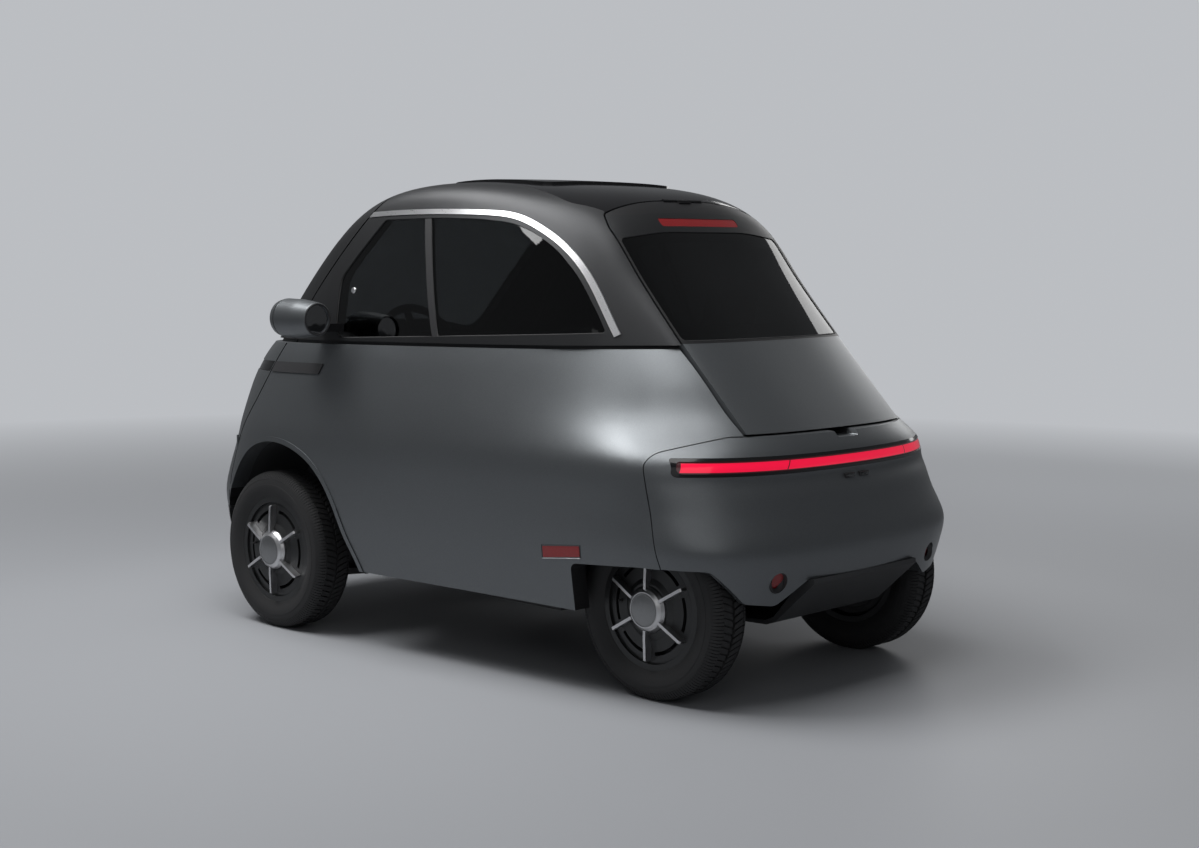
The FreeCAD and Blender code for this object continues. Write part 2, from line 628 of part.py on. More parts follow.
def add_hatch_hinge(parts, upper_out):
    """Hinge in the hatch's top gap: end knuckles and pin on the roof, one knuckle on the hatch."""
    x = sx(hatch_line[-1][0])
    z = skin_top(upper_out, x) - 1.0
    reach = hinge_span / 2
    inner = reach / 3
    pin = drum(hatch_pin, -reach + 4, reach - 4, x, z)
    roof_side = []
    for low, high in ((-reach, -inner), (inner, reach)):
        roof_side.append(drum(hatch_knuckle, low, high, x, z))
        roof_side.append(block(x, x + 14, low, high, z - hatch_knuckle, z - 2))
    middle = drum(hatch_knuckle, -inner + 1, inner - 1, x, z).fuse(
        block(x - 16, x, -inner + 1, inner - 1, z - hatch_knuckle, z - 2))
    roof = parts["roof_panel"].cut(drum(hatch_knuckle + 4, -inner, inner, x, z))
    parts["roof_panel"] = solids(roof.fuse(roof_side + [pin]), 1)
    room = Part.makeCompound([drum(hatch_knuckle + 4, -reach - 2, -inner + 1, x, z),
                              drum(hatch_knuckle + 4, inner - 1, reach + 2, x, z)])
    hatch = parts["hatch_frame"].cut(room).fuse(middle).cut(
        drum(hatch_pin + 0.05, -reach, reach, x, z))
    parts["hatch_frame"] = solids(hatch, 1)


def pods():
    """Headlamp and mirror barrels on short black arms at the belt, beside the front door."""
    z, y = sz(pod_z), sy(pod_y)
    profile = [(sx(p[0]),) + tuple(p[1:]) for p in pod_line]
    x0, x1 = profile[0][0], profile[-1][0]
    profile = [(x0, 0)] + profile + [(x1, 0)]
    face = Part.Face(wire(profile, lambda a, b: Vector(a, y, z + b)))
    barrel = face.revolve(Vector(0, y, z), Vector(1, 0, 0), 360)
    barrel = barrel.cut(drum(47.0, x0 - 5, x0 + 14, 0, z, "x", y))
    barrel = barrel.cut(drum(48.0, x1 - 18, x1 + 5, 0, z, "x", y))
    arm = prism_z(pod_arm, z - 44, z - 18).cut(half_solid(upper_net(-seat_gap)))
    arm = solids(arm.cut(drum(64.0 + seat_gap, x0, x1, 0, z, "x", y)), 1)
    mirror = drum(47.0 - seat_gap, x0 + 6, x0 + 14 - seat_gap, 0, z, "x", y)
    lens = drum(48.0 - seat_gap, x1 - 18 + seat_gap, x1 - 2, 0, z, "x", y)
    lens = lens.makeChamfer(5.0, [lens.Edges[0]])
    return {"pod_housings": both(barrel), "pod_arms": both(arm), "pod_mirrors": both(mirror),
            "headlamp_lenses": both(lens)}


def structure():
    """Floor, wheelhouses, bulkheads, dash and tray inside the body."""
    room = half_solid(lower_net(side_wall + seat_gap)).common(below_belt(0.0))
    z0 = sill_height
    arch = arch_prism(front_arch, sy(385), 900)
    arch_out = arch_prism(grown(front_arch, 8.0), sy(377), 900)
    floor = room.common(block(sx(186), sx(1925), 0, 900, z0, z0 + 35)).cut(arch_out)
    floor = floor.cut(block(-1500, sx(300), sy(385), 900, 0, 400))
    door_sweep = prism_y(grown(door_region, 8.0), 0, 900).cut(half_solid(lower_net(side_wall + 6.0)))
    liner = room.common(arch_out.cut(arch)).cut(block(-1500, 1500, 0, 900, 0, z0))
    liner = solids(liner.cut(door_sweep), 1)
    load_room = half_solid(lower_net(side_wall + deck_gap))
    deck = load_room.common(block(sx(330), sx(350), 0, 900, z0 + 35 + seat_gap, sz(622)).fuse(
        block(sx(-300), sx(340), 0, 900, sz(600), sz(622))))
    dash = whole(solids(room.common(block(sx(1500), sx(1590), 0, 900, sz(800), sz(880))), 1))
    column = steering_axis_rod(24, 0, 170).cut(block(sx(1545), sx(1800), 0, 900, 0, 1500))
    bore = steering_axis_rod(column_shaft + seat_gap, 115, 200)
    top = 366.0 - seat_gap
    tray_points = [(-374, top), (-374, 352), (-240, 226), (-205, 211), (-20, 205), (-20, 217),
                   (-200, 223), (-232, 238), (-335, top)]
    tray = prism_y(tray_points, 0, sy(255))
    return {"floor_pan": whole(solids(floor, 1)), "front_wheelhouses": both(liner),
            "load_deck": whole(solids(deck, 1)), "dash_bar": solids(dash.fuse(column).cut(bore), 1),
            "rear_tray": whole(tray)}


def steering_axis():
    """Foot of the steering axis on the dash, and its direction towards the driver."""
    lean = math.radians(steering_lean)
    return Vector(sx(1500), sy(270), sz(838)), Vector(-math.cos(lean), 0, math.sin(lean))


def steering_axis_rod(radius, start, end):
    foot, axis = steering_axis()
    return Part.makeCylinder(radius, end - start + 40, foot + axis * (start - 40), axis)


def cabin():
    """Seat bench, steering column and steering wheel."""
    z0 = sill_height + 35 + seat_gap
    half_width = sy(500)
    base = block(sx(500), sx(960), -half_width + 40, half_width - 40, z0, sz(370))
    cushion = block(sx(470), sx(1010), -half_width, half_width, sz(370) + seat_gap, sz(500))
    cushion = cushion.makeFillet(38.0, [e for e in cushion.Edges])
    seat_top = 500 + seat_gap
    back_points = [(475, seat_top, 5), (340, 950, 30), (440, 985, 40), (590, 560, 60),
                   (585, seat_top, 5)]
    back = prism_y(back_points, -half_width, half_width)
    rest_points = [(330, 990, 25), (296, 1150, 35), (385, 1172, 35), (425, 1015, 20)]
    rest = prism_y(rest_points, sy(130), sy(350))
    posts = [drum(7, sz(940), sz(1010), sx(385), 0, "z", y) for y in (sy(190), sy(290))]
    lifted = back.copy()
    lifted.translate(Vector(0, 0, seat_gap))
    rest = solids(rest.fuse(posts).cut(lifted), 1)
    column_foot, axis = steering_axis()
    centre = column_foot + axis * 230
    hub = Part.makeCylinder(34, 52, centre - axis * 54, axis)
    hub = hub.fuse(Part.makeCylinder(column_shaft, 100, centre - axis * 110, axis))
    ring = Part.makeTorus(160, 14, centre, axis)
    across = Vector(0, 1, 0)
    rise = axis.cross(across)
    spokes = []
    for angle in (0, 180, 270):
        a = math.radians(angle)
        direction = across * math.cos(a) + rise * math.sin(a)
        spoke = Part.makeBox(156, 26, 10, Vector(0, -13, -5))
        turn = FreeCAD.Matrix(direction.x, axis.cross(direction).x, axis.x, centre.x - 14 * axis.x,
                              direction.y, axis.cross(direction).y, axis.y, centre.y - 14 * axis.y,
                              direction.z, axis.cross(direction).z, axis.z, centre.z - 14 * axis.z,
                              0, 0, 0, 1)
        spokes.append(spoke.transformGeometry(turn))
    wheel = hub.fuse([ring] + spokes)
    seat = Part.makeCompound([solids(cushion), solids(back, 1), rest, mirrored(rest)])
    return {"seat_base": base, "seat": seat, "steering_wheel": solids(wheel, 1)}


def wheel_parts(x, y):
    """Tyre, rim and bright trim of a left wheel whose tyre is centred at x, y."""
    z, half = axle_z, tyre_width / 2

    def ring(points):
        face = Part.Face(wire(points, lambda a, b: Vector(x, y + a, z + b)))
        return face.revolve(Vector(x, y, z), Vector(0, 1, 0), 360)

    bead, seat = rim_width / 2, bead_radius - seat_gap
    inside = bead - 4 - seat_gap
    side = [(inside, bead_radius), (inside, 181), (66, 196), (half, 216), (70, 242), (58, 260),
            (44, tyre_radius)]
    t = tyre_wall
    lining = [(inside - t, bead_radius), (inside - t, 188), (half - t, 214), (58 - t, 254),
              (36, tyre_radius - t)]
    outer = [(-a, b) for a, b in side] + side[::-1]
    inner = [(-a, b) for a, b in lining] + lining[::-1]
    tyre = ring(outer + inner[::-1])
    rim = ring([(-bead, seat - 10), (-bead, seat + 8), (-bead + 4, seat + 8), (-bead + 4, seat),
                (bead - 4, seat), (bead - 4, seat + 8), (bead, seat + 8), (bead, seat - 10)])
    face_y = bead + 2
    disc = ring([(bead - 34, hub_radius - 8), (bead - 34, 70), (bead - 22, 150), (bead - 22, seat - 8),
                 (bead - 8, seat - 8), (bead - 6, 152), (bead - 1, 90), (face_y + 5, 76),
                 (face_y + 5, cap_radius + 1), (face_y, cap_radius + 1), (face_y, hub_radius - 8)])
    hub = drum(hub_radius, y - 40, y + face_y, x, z).cut(drum(14.5, y - 50, y + 20, x, z))
    barrel = rim.fuse([disc, hub])
    blade = [(cap_radius - 8, face_y + seat_gap), (cap_radius, face_y + 5 + seat_gap),
             (76, face_y + 5 + seat_gap), (90, bead - 1 + seat_gap), (152, bead - 6 + seat_gap),
             (152, bead + 16), (148, bead + 21), (84, bead + 24), (cap_radius - 8, bead + 24)]
    slots, bars = [], []
    for i in range(6):
        middle = 120 + 60 * i
        slots.append(ring_slot(x, y, z, 125, 136, middle - 22, middle + 22, y + bead - 45, y + bead + 20))
        face = Part.Face(wire(blade, lambda a, b: Vector(x - 4.5, y + b, z + a)))
        bar = face.extrude(Vector(9, 0, 0))
        bars.append(bar.rotate(Vector(x, y, z), Vector(0, 1, 0), 60 * i))
    barrel = barrel.cut(Part.makeCompound(slots))
    cap = ring([(face_y + seat_gap, 0), (face_y + seat_gap, cap_radius), (face_y + 8, cap_radius - 1),
                (face_y + 18, cap_radius - 7), (face_y + 25, 52), (face_y + 26, 0)])
    trim = cap.fuse(bars)
    return tyre, solids(barrel), solids(trim)


def ring_slot(x, y, z, r0, r1, start, end, low, high):
    """Curved slot between two radii and two angles, as a tool along y."""
    def spot(radius, degrees):
        a = math.radians(degrees)
        return Vector(x + radius * math.cos(a), low, z + radius * math.sin(a))
    middle = (start + end) / 2
    edges = [Part.Arc(spot(r0, start), spot(r0, middle), spot(r0, end)).toShape(),
             Part.LineSegment(spot(r0, end), spot(r1, end)).toShape(),
             Part.Arc(spot(r1, end), spot(r1, middle), spot(r1, start)).toShape(),
             Part.LineSegment(spot(r1, start), spot(r0, start)).toShape()]
    return Part.Face(Part.Wire(edges)).extrude(Vector(0, high - low, 0))


def running_gear():
    """Wheels, knuckles, arms, axle, motor and battery."""
    parts = {}
    front_y, rear_y = front_track / 2, rear_track / 2
    for place, x, y in (("front", front_axle_x, front_y), ("rear", rear_axle_x, rear_y)):
        tyre, rim, trim = wheel_parts(x, y)
        for kind, shape in (("tyre", tyre), ("rim", rim), ("wheel_trim", trim)):
            parts[kind + "_" + place + "_left"] = shape
            parts[kind + "_" + place + "_right"] = mirrored(shape)
    x, z, king_y = front_axle_x, axle_z, front_y - kingpin_offset
    barrel = drum(22, z - 80, z + 80, x, 0, "z", king_y)
    stub = drum(14, king_y, front_y + 15, x, z).fuse(drum(30, king_y, front_y - 46, x, z))
    bores = Part.makeCompound([drum(10, z - 81, z - 50, x, 0, "z", king_y),
                               drum(10, z + 50, z + 81, x, 0, "z", king_y)])
    knuckle = barrel.fuse(stub).cut(bores)
    parts["knuckle_left"] = solids(knuckle)
    parts["knuckle_right"] = mirrored(parts["knuckle_left"])
    wall_y = sy(385) + seat_gap
    arms = []
    levels = ((z - 108, z - 86, z - 108, z - 54), (z + 86, z + 104, z + 54, z + 104))
    for low, high, pin_low, pin_high in levels:
        plate = [(x - 110, wall_y), (x + 110, wall_y), (x + 20, king_y + 20, 18), (x - 20, king_y + 20, 18)]
        arm = Part.Face(wire(plate, lambda a, b: Vector(a, b, low))).extrude(Vector(0, 0, high - low))
        arms.append(arm.fuse(drum(9.5, pin_low, pin_high, x, 0, "z", king_y)))
    rib = block(x - 116, x + 116, wall_y, wall_y + 12, z - 108, z + 104)
    parts["front_arms"] = both(solids(arms[0].fuse([arms[1], rib])))
    axle = drum(28, 0, rear_y - 46, rear_axle_x, z).fuse(drum(14, 0, rear_y + 15, rear_axle_x, z))
    trail = block(rear_axle_x - 30, sx(330), sy(250), sy(310), z - 22, z + 22)
    trail = trail.cut(block(sx(186) - seat_gap, 2000, 0, 900, sill_height - seat_gap, 900))
    parts["rear_axle"] = whole(solids(axle.fuse(trail)))
    motor = block(sx(-120), sx(150), -sy(150), sy(150), z + 28 + seat_gap, z + 250)
    parts["motor_block"] = motor.makeFillet(25.0, motor.Edges)
    parts["battery_block"] = block(sx(560), sx(900), -sy(330), sy(330), sz(150), sill_height - seat_gap)
    return parts


if __name__ == "__main__":
    os.makedirs("parts", exist_ok=True)
    for group in (body, pods, structure, cabin, running_gear):
        for name, shape in group().items():
            shape.exportStep("parts/" + name + ".step")
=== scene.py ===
import json
import math

import bmesh
import bpy
from mathutils import Matrix, Vector
from mathutils.bvhtree import BVHTree

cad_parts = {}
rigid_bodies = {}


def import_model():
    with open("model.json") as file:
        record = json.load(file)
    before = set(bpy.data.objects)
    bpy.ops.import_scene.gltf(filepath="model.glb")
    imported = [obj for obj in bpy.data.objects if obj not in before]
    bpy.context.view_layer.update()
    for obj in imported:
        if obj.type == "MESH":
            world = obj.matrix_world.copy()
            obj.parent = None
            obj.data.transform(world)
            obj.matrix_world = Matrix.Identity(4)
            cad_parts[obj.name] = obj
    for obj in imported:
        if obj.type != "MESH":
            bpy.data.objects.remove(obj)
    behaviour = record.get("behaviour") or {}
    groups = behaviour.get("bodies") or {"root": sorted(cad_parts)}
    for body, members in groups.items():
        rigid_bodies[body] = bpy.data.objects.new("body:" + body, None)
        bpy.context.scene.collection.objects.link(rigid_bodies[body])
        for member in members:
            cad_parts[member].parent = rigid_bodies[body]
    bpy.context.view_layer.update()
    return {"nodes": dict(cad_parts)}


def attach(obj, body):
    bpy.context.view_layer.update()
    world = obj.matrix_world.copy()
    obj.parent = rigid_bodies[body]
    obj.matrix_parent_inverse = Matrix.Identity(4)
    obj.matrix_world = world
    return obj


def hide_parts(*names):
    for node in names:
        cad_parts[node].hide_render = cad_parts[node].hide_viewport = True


for leftover in list(bpy.data.objects):
    bpy.data.objects.remove(leftover)
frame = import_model()

# Studio: a pale floor that runs into a pale backdrop, a large soft light over the car, one
# over its left shoulder and a weak one at each side. The camera stands where the
# photographer stood, behind the car on its left, at the height of its roof.
camera_place = (-4.2570, 4.3017, 1.3071)
camera_heading, camera_pitch, camera_roll = -46.380, -5.736, 0.388
camera_lens = 53.9

camera = bpy.data.objects.new("camera", bpy.data.cameras.new("camera"))
camera.data.lens = camera_lens
camera.data.sensor_width = 36.0
camera.matrix_world = (Matrix.Translation(camera_place)
                       @ Matrix.Rotation(math.radians(camera_heading - 90), 4, "Z")
                       @ Matrix.Rotation(math.radians(90 + camera_pitch), 4, "X")
                       @ Matrix.Rotation(math.radians(camera_roll), 4, "Z"))
bpy.context.scene.collection.objects.link(camera)
bpy.context.scene.camera = camera
bpy.context.scene.view_settings.view_transform = "Standard"

backdrop_colour = (0.50, 0.515, 0.54)
glossy_share, soft_share = 0.25, 0.20
floor_colour = (0.35, 0.36, 0.38)
fade_from, fade_to = 2.4, 8.0


def new_material(name):
    material = bpy.data.materials.new(name)
    material.use_nodes = True
    nodes = material.node_tree.nodes
    nodes.clear()
    output = nodes.new("ShaderNodeOutputMaterial")
    return material, nodes, material.node_tree.links, output


def figure(nodes, links, operation, first, second=0.0, third=0.0):
    """Maths node on two or three values, each a socket or a number."""
    node = nodes.new("ShaderNodeMath")
    node.operation = operation
    for socket, value in zip(node.inputs, (first, second, third)):
        if isinstance(value, (int, float)):
            socket.default_value = value
        else:
            links.new(value, socket)
    return node.outputs[0]


world = bpy.data.worlds.new("backdrop")
world.use_nodes = True
world_nodes, world_links = world.node_tree.nodes, world.node_tree.links
background = world_nodes["Background"]
background.inputs["Color"].default_value = (*backdrop_colour, 1)
rays = world_nodes.new("ShaderNodeLightPath")
seen = figure(world_nodes, world_links, "MAXIMUM", rays.outputs["Is Camera Ray"],
              rays.outputs["Is Transmission Ray"])
mirrored = figure(world_nodes, world_links, "MULTIPLY_ADD", rays.outputs["Is Glossy Ray"],
                  glossy_share - soft_share, soft_share)
world_links.new(figure(world_nodes, world_links, "MAXIMUM", seen, mirrored),
                background.inputs["Strength"])
bpy.context.scene.world = world

floor_mesh = bpy.data.meshes.new("floor")
floor_shape = bmesh.new()
bmesh.ops.create_circle(floor_shape, cap_ends=True, radius=30.0, segments=96)
floor_shape.to_mesh(floor_mesh)
floor_shape.free()
floor = bpy.data.objects.new("floor", floor_mesh)
bpy.context.scene.collection.objects.link(floor)
material, nodes, links, output = new_material("pale_floor")
painted = nodes.new("ShaderNodeBsdfPrincipled")
painted.inputs["Base Color"].default_value = (*floor_colour, 1)
painted.inputs["Roughness"].default_value = 0.55
painted.inputs["Specular IOR Level"].default_value = 0.25
glow = nodes.new("ShaderNodeEmission")
glow.inputs["Color"].default_value = (*backdrop_colour, 1)
rays = nodes.new("ShaderNodeLightPath")
seen = figure(nodes, links, "MAXIMUM", rays.outputs["Is Camera Ray"],
              rays.outputs["Is Transmission Ray"])
links.new(figure(nodes, links, "MAXIMUM", seen, glossy_share), glow.inputs["Strength"])
place = nodes.new("ShaderNodeTexCoord")
distance = nodes.new("ShaderNodeVectorMath")
distance.operation = "LENGTH"
links.new(place.outputs["Object"], distance.inputs[0])
fade = nodes.new("ShaderNodeMapRange")
fade.inputs["From Min"].default_value = fade_from
fade.inputs["From Max"].default_value = fade_to
links.new(distance.outputs["Value"], fade.inputs["Value"])
blend = nodes.new("ShaderNodeMixShader")
links.new(fade.outputs["Result"], blend.inputs["Fac"])
links.new(painted.outputs["BSDF"], blend.inputs[1])
links.new(glow.outputs["Emission"], blend.inputs[2])
links.new(blend.outputs["Shader"], output.inputs["Surface"])
floor_mesh.materials.append(material)


def soft_light(name, place, aim, size, power):
    lamp = bpy.data.lights.new(name, "AREA")
    lamp.shape = "RECTANGLE"
    lamp.size, lamp.size_y = size
    lamp.energy = power
    holder = bpy.data.objects.new(name, lamp)
    holder.location = place
    holder.rotation_euler = (Vector(aim) - Vector(place)).to_track_quat("-Z", "Y").to_euler()
    bpy.context.scene.collection.objects.link(holder)


soft_light("top_light", (0.0, 1.1, 4.4), (0.0, 0.3, 0.6), (4.4, 2.2), 125)
soft_light("shoulder_light", (2.1, 2.2, 5.1), (0.1, 0.5, 0.9), (3.2, 2.0), 175)
soft_light("left_light", (-4.2, 4.6, 3.2), (0.0, 0.0, 0.7), (5.0, 3.0), 24)
soft_light("right_light", (0.6, -4.8, 2.4), (0.0, 0.0, 0.7), (3.0, 2.0), 40)

# Body panels: painted in a satin metallic grey with fine flake, side panels, tail, the one
# front door and the hatch's lower panel alike. Their edges and backs, turned away from the
# paint gun, are black.
def noise(nodes, links, place, scale, detail=2.0):
    texture = nodes.new("ShaderNodeTexNoise")
    texture.inputs["Scale"].default_value = scale
    texture.inputs["Detail"].default_value = detail
    links.new(place, texture.inputs["Vector"])
    return texture.outputs["Fac"]


def shaded(nodes, links, amount, dark, light):
    """Colour ramp from dark to light along a texture."""
    shades = nodes.new("ShaderNodeValToRGB")
    shades.color_ramp.elements[0].color = (*dark, 1)
    shades.color_ramp.elements[1].color = (*light, 1)
    links.new(amount, shades.inputs["Fac"])
    return shades


def roughened(nodes, links, shader, amount, low, high):
    spread = nodes.new("ShaderNodeMapRange")
    spread.inputs["To Min"].default_value = low
    spread.inputs["To Max"].default_value = high
    links.new(amount, spread.inputs["Value"])
    links.new(spread.outputs["Result"], shader.inputs["Roughness"])


def bumped(nodes, links, shader, amount, strength, distance):
    bump = nodes.new("ShaderNodeBump")
    bump.inputs["Strength"].default_value = strength
    bump.inputs["Distance"].default_value = distance
    links.new(amount, bump.inputs["Height"])
    links.new(bump.outputs["Normal"], shader.inputs["Normal"])


def satin_paint(name, colour, flake, roughness, coat, black_where=None):
    material, nodes, links, output = new_material(name)
    shader = nodes.new("ShaderNodeBsdfPrincipled")
    shader.inputs["Metallic"].default_value = 0.80
    shader.inputs["Coat Weight"].default_value = coat
    shader.inputs["Coat Roughness"].default_value = 0.30
    links.new(shader.outputs["BSDF"], output.inputs["Surface"])
    place = nodes.new("ShaderNodeTexCoord")
    grain = noise(nodes, links, place.outputs["Object"], 900.0)
    shades = shaded(nodes, links, grain, [c * (1 - flake) for c in colour],
                    [c * (1 + flake) for c in colour])
    shades.color_ramp.elements[0].position = 0.35
    shades.color_ramp.elements[1].position = 0.68
    links.new(shades.outputs["Color"], shader.inputs["Base Color"])
    haze = noise(nodes, links, place.outputs["Object"], 7.0)
    roughened(nodes, links, shader, haze, roughness - 0.03, roughness + 0.03)
    bumped(nodes, links, shader, grain, 0.06, 0.0004)
    if black_where:
        black = nodes.new("ShaderNodeBsdfPrincipled")
        black.inputs["Base Color"].default_value = (0.010, 0.010, 0.011, 1)
        black.inputs["Roughness"].default_value = 0.45
        parting = nodes.new("ShaderNodeMixShader")
        links.new(black_where(nodes, links, place), parting.inputs["Fac"])
        links.new(shader.outputs["BSDF"], parting.inputs[1])
        links.new(black.outputs["BSDF"], parting.inputs[2])
        links.new(parting.outputs["Shader"], output.inputs["Surface"])
    return material


def dress(material, *names):
    for name in names:
        for slot in frame["nodes"][name].material_slots:
            slot.material = material


def backs_and_edges(nodes, links, place):
    """1 on faces that look in towards the car's middle line, and below 0.45 m on edges too."""
    spot = nodes.new("ShaderNodeSeparateXYZ")
    links.new(place.outputs["Object"], spot.inputs[0])
    facing = nodes.new("ShaderNodeSeparateXYZ")
    links.new(place.outputs["Normal"], facing.inputs[0])
    side = figure(nodes, links, "SIGN", spot.outputs["Y"])
    outward = figure(nodes, links, "MULTIPLY", facing.outputs["Y"], side)
    low = figure(nodes, links, "LESS_THAN", spot.outputs["Z"], 0.45)
    limit = figure(nodes, links, "MULTIPLY_ADD", low, 0.50, -0.25)
    return figure(nodes, links, "LESS_THAN", outward, limit)


def inner_faces(nodes, links, place):
    """1 on the inner side of a panel, which looks back at the middle of the cabin."""
    from_middle = nodes.new("ShaderNodeVectorMath")
    from_middle.operation = "SUBTRACT"
    from_middle.inputs[1].default_value = (0.0, 0.0, 0.75)
    links.new(place.outputs["Object"], from_middle.inputs[0])
    direction = nodes.new("ShaderNodeVectorMath")
    direction.operation = "NORMALIZE"
    links.new(from_middle.outputs[0], direction.inputs[0])
    facing = nodes.new("ShaderNodeVectorMath")
    facing.operation = "DOT_PRODUCT"
    links.new(direction.outputs[0], facing.inputs[0])
    links.new(place.outputs["Normal"], facing.inputs[1])
    return figure(nodes, links, "LESS_THAN", facing.outputs["Value"], -0.30)


body_finish = ((0.150, 0.160, 0.168), 0.14, 0.42, 0.22)
body_paint = satin_paint("body_paint", *body_finish, inner_faces)
side_paint = satin_paint("side_paint", *body_finish, backs_and_edges)
dress(body_paint, "tail_panel", "door_panel", "hatch_panel")
dress(side_paint, "side_panels")

# Upper frame: rear pillars, roof sides and door frame in a darker satin grey. The hatch's
# frame is the same paint between its glass and its top, and gloss black everywhere else.
def hatch_black(nodes, links, place):
    """1 above the curved front edge of the painted band, and below the top of the glass."""
    spot = nodes.new("ShaderNodeSeparateXYZ")
    links.new(place.outputs["Object"], spot.inputs[0])
    across = figure(nodes, links, "POWER",
                    figure(nodes, links, "ABSOLUTE", spot.outputs["Y"]), 2.0)
    curved = figure(nodes, links, "MULTIPLY", figure(nodes, links, "POWER", across, 3.0), 14.0)
    edge = figure(nodes, links, "MULTIPLY_ADD", across, 0.12, curved)
    ahead = figure(nodes, links, "GREATER_THAN",
                   figure(nodes, links, "SUBTRACT", spot.outputs["X"], edge), -0.5605)
    sunk = figure(nodes, links, "MULTIPLY_ADD", across, -0.17, 1.3475)
    below = figure(nodes, links, "LESS_THAN", spot.outputs["Z"], sunk)
    return figure(nodes, links, "MAXIMUM", ahead, below)


frame_finish = ((0.038, 0.039, 0.041), 0.10, 0.50, 0.12)
frame_paint = satin_paint("frame_paint", *frame_finish, inner_faces)
hatch_paint = satin_paint("hatch_paint", *frame_finish, hatch_black)
dress(frame_paint, "roof_frame", "door_frame")
dress(hatch_paint, "hatch_frame")

# Gloss black mouldings: the roof panel, its raised front cover and the pods' arms, in smooth
# moulded plastic under a clear coat. Side strips, window dividers and front valance are
# moulded in the same plastic with a dull grain.
def moulded_plastic(name, colour, roughness, coat=0.0, grain=0.0, grain_scale=600.0, gloss=0.5):
    material, nodes, links, output = new_material(name)
    shader = nodes.new("ShaderNodeBsdfPrincipled")
    shader.inputs["Specular IOR Level"].default_value = gloss
    shader.inputs["Base Color"].default_value = (*colour, 1)
    shader.inputs["Coat Weight"].default_value = coat
    shader.inputs["Coat Roughness"].default_value = 0.04
    links.new(shader.outputs["BSDF"], output.inputs["Surface"])
    place = nodes.new("ShaderNodeTexCoord")
    texture = noise(nodes, links, place.outputs["Object"], grain_scale, 3.0)
    roughened(nodes, links, shader, texture, roughness * 0.85, roughness * 1.15)
    bumped(nodes, links, shader, texture, grain, 0.0006)
    return material


gloss_black = moulded_plastic("gloss_black", (0.010, 0.010, 0.011), 0.14, 0.25, gloss=0.25)
dress(gloss_black, "roof_panel", "sunroof", "pod_arms")
dark_trim = moulded_plastic("dark_trim", (0.028, 0.028, 0.030), 0.50, grain=0.25)
dress(dark_trim, "side_strips", "window_dividers", "front_valance")

# Bright strips over the side windows: satin anodised aluminium, drawn along its length and
# pressed on to the upper frame.
def metal(name, colour, roughness, stretch=(1, 1, 1), depth=0.15, grain_scale=400.0):
    material, nodes, links, output = new_material(name)
    shader = nodes.new("ShaderNodeBsdfPrincipled")
    shader.inputs["Base Color"].default_value = (*colour, 1)
    shader.inputs["Metallic"].default_value = 1.0
    links.new(shader.outputs["BSDF"], output.inputs["Surface"])
    place = nodes.new("ShaderNodeTexCoord")
    mapping = nodes.new("ShaderNodeMapping")
    mapping.inputs["Scale"].default_value = stretch
    links.new(place.outputs["Object"], mapping.inputs["Vector"])
    texture = noise(nodes, links, mapping.outputs["Vector"], grain_scale, 4.0)
    roughened(nodes, links, shader, texture, roughness * 0.75, roughness * 1.25)
    bumped(nodes, links, shader, texture, depth, 0.0003)
    return material


bright_trim = metal("bright_trim", (0.80, 0.80, 0.81), 0.30, (0.1, 1, 1))
dress(bright_trim, "window_trims")

# Glass: thin curved panes glued into their frames, tinted dark at the sides and the back and
# almost clear in the windscreen.
def tinted_glass(name, tint):
    material, nodes, links, output = new_material(name)
    shader = nodes.new("ShaderNodeBsdfPrincipled")
    shader.inputs["Transmission Weight"].default_value = 1.0
    shader.inputs["IOR"].default_value = 1.45
    links.new(shader.outputs["BSDF"], output.inputs["Surface"])
    place = nodes.new("ShaderNodeTexCoord")
    film = noise(nodes, links, place.outputs["Object"], 3.0)
    shades = shaded(nodes, links, film, [c * 0.92 for c in tint], [c * 1.08 for c in tint])
    links.new(shades.outputs["Color"], shader.inputs["Base Color"])
    roughened(nodes, links, shader, film, 0.01, 0.03)
    return material


dark_glass = tinted_glass("dark_glass", (0.030, 0.032, 0.033))
clear_glass = tinted_glass("clear_glass", (0.62, 0.65, 0.66))
dress(dark_glass, "side_glass", "rear_glass")
dress(clear_glass, "windscreen")

# Window seals: round black rubber beads, half sunk in the frame round the outer edge of every
# pane. The rear glass takes its seal up with the hatch, and the windscreen with the door.
rubber = moulded_plastic("rubber", (0.021, 0.021, 0.022), 0.74, grain=0.30, grain_scale=350.0)


def mesh_piece(name, shape, material, body, angle=35.0):
    bmesh.ops.recalc_face_normals(shape, faces=shape.faces[:])
    mesh = bpy.data.meshes.new(name)
    shape.to_mesh(mesh)
    shape.free()
    mesh.materials.append(material)
    mesh.shade_smooth()
    mesh.set_sharp_from_angle(angle=math.radians(angle))
    piece = bpy.data.objects.new(name, mesh)
    bpy.context.scene.collection.objects.link(piece)
    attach(piece, body)
    return piece


def outer_edges(node, outward):
    """Closed lines of points round the outer face of each pane in a CAD node."""
    shape = bmesh.new()
    shape.from_mesh(frame["nodes"][node].data)
    bmesh.ops.remove_doubles(shape, verts=shape.verts[:], dist=1e-5)
    outer = {face for face in shape.faces
             if face.normal.dot(Vector(outward(face.calc_center_median())).normalized()) > 0.75}
    border = [edge for edge in shape.edges if sum(face in outer for face in edge.link_faces) == 1]
    unused, lines = set(border), []
    for first in border:
        if first not in unused:
            continue
        here, line, following = first.verts[0], [], first
        while following is not None:
            unused.discard(following)
            line.append(here.co.copy())
            here = following.other_vert(here)
            ahead = [edge for edge in here.link_edges if edge in unused]
            following = ahead[0] if ahead else None
        if len(line) > 30:
            lines.append(line)
    shape.free()
    return lines


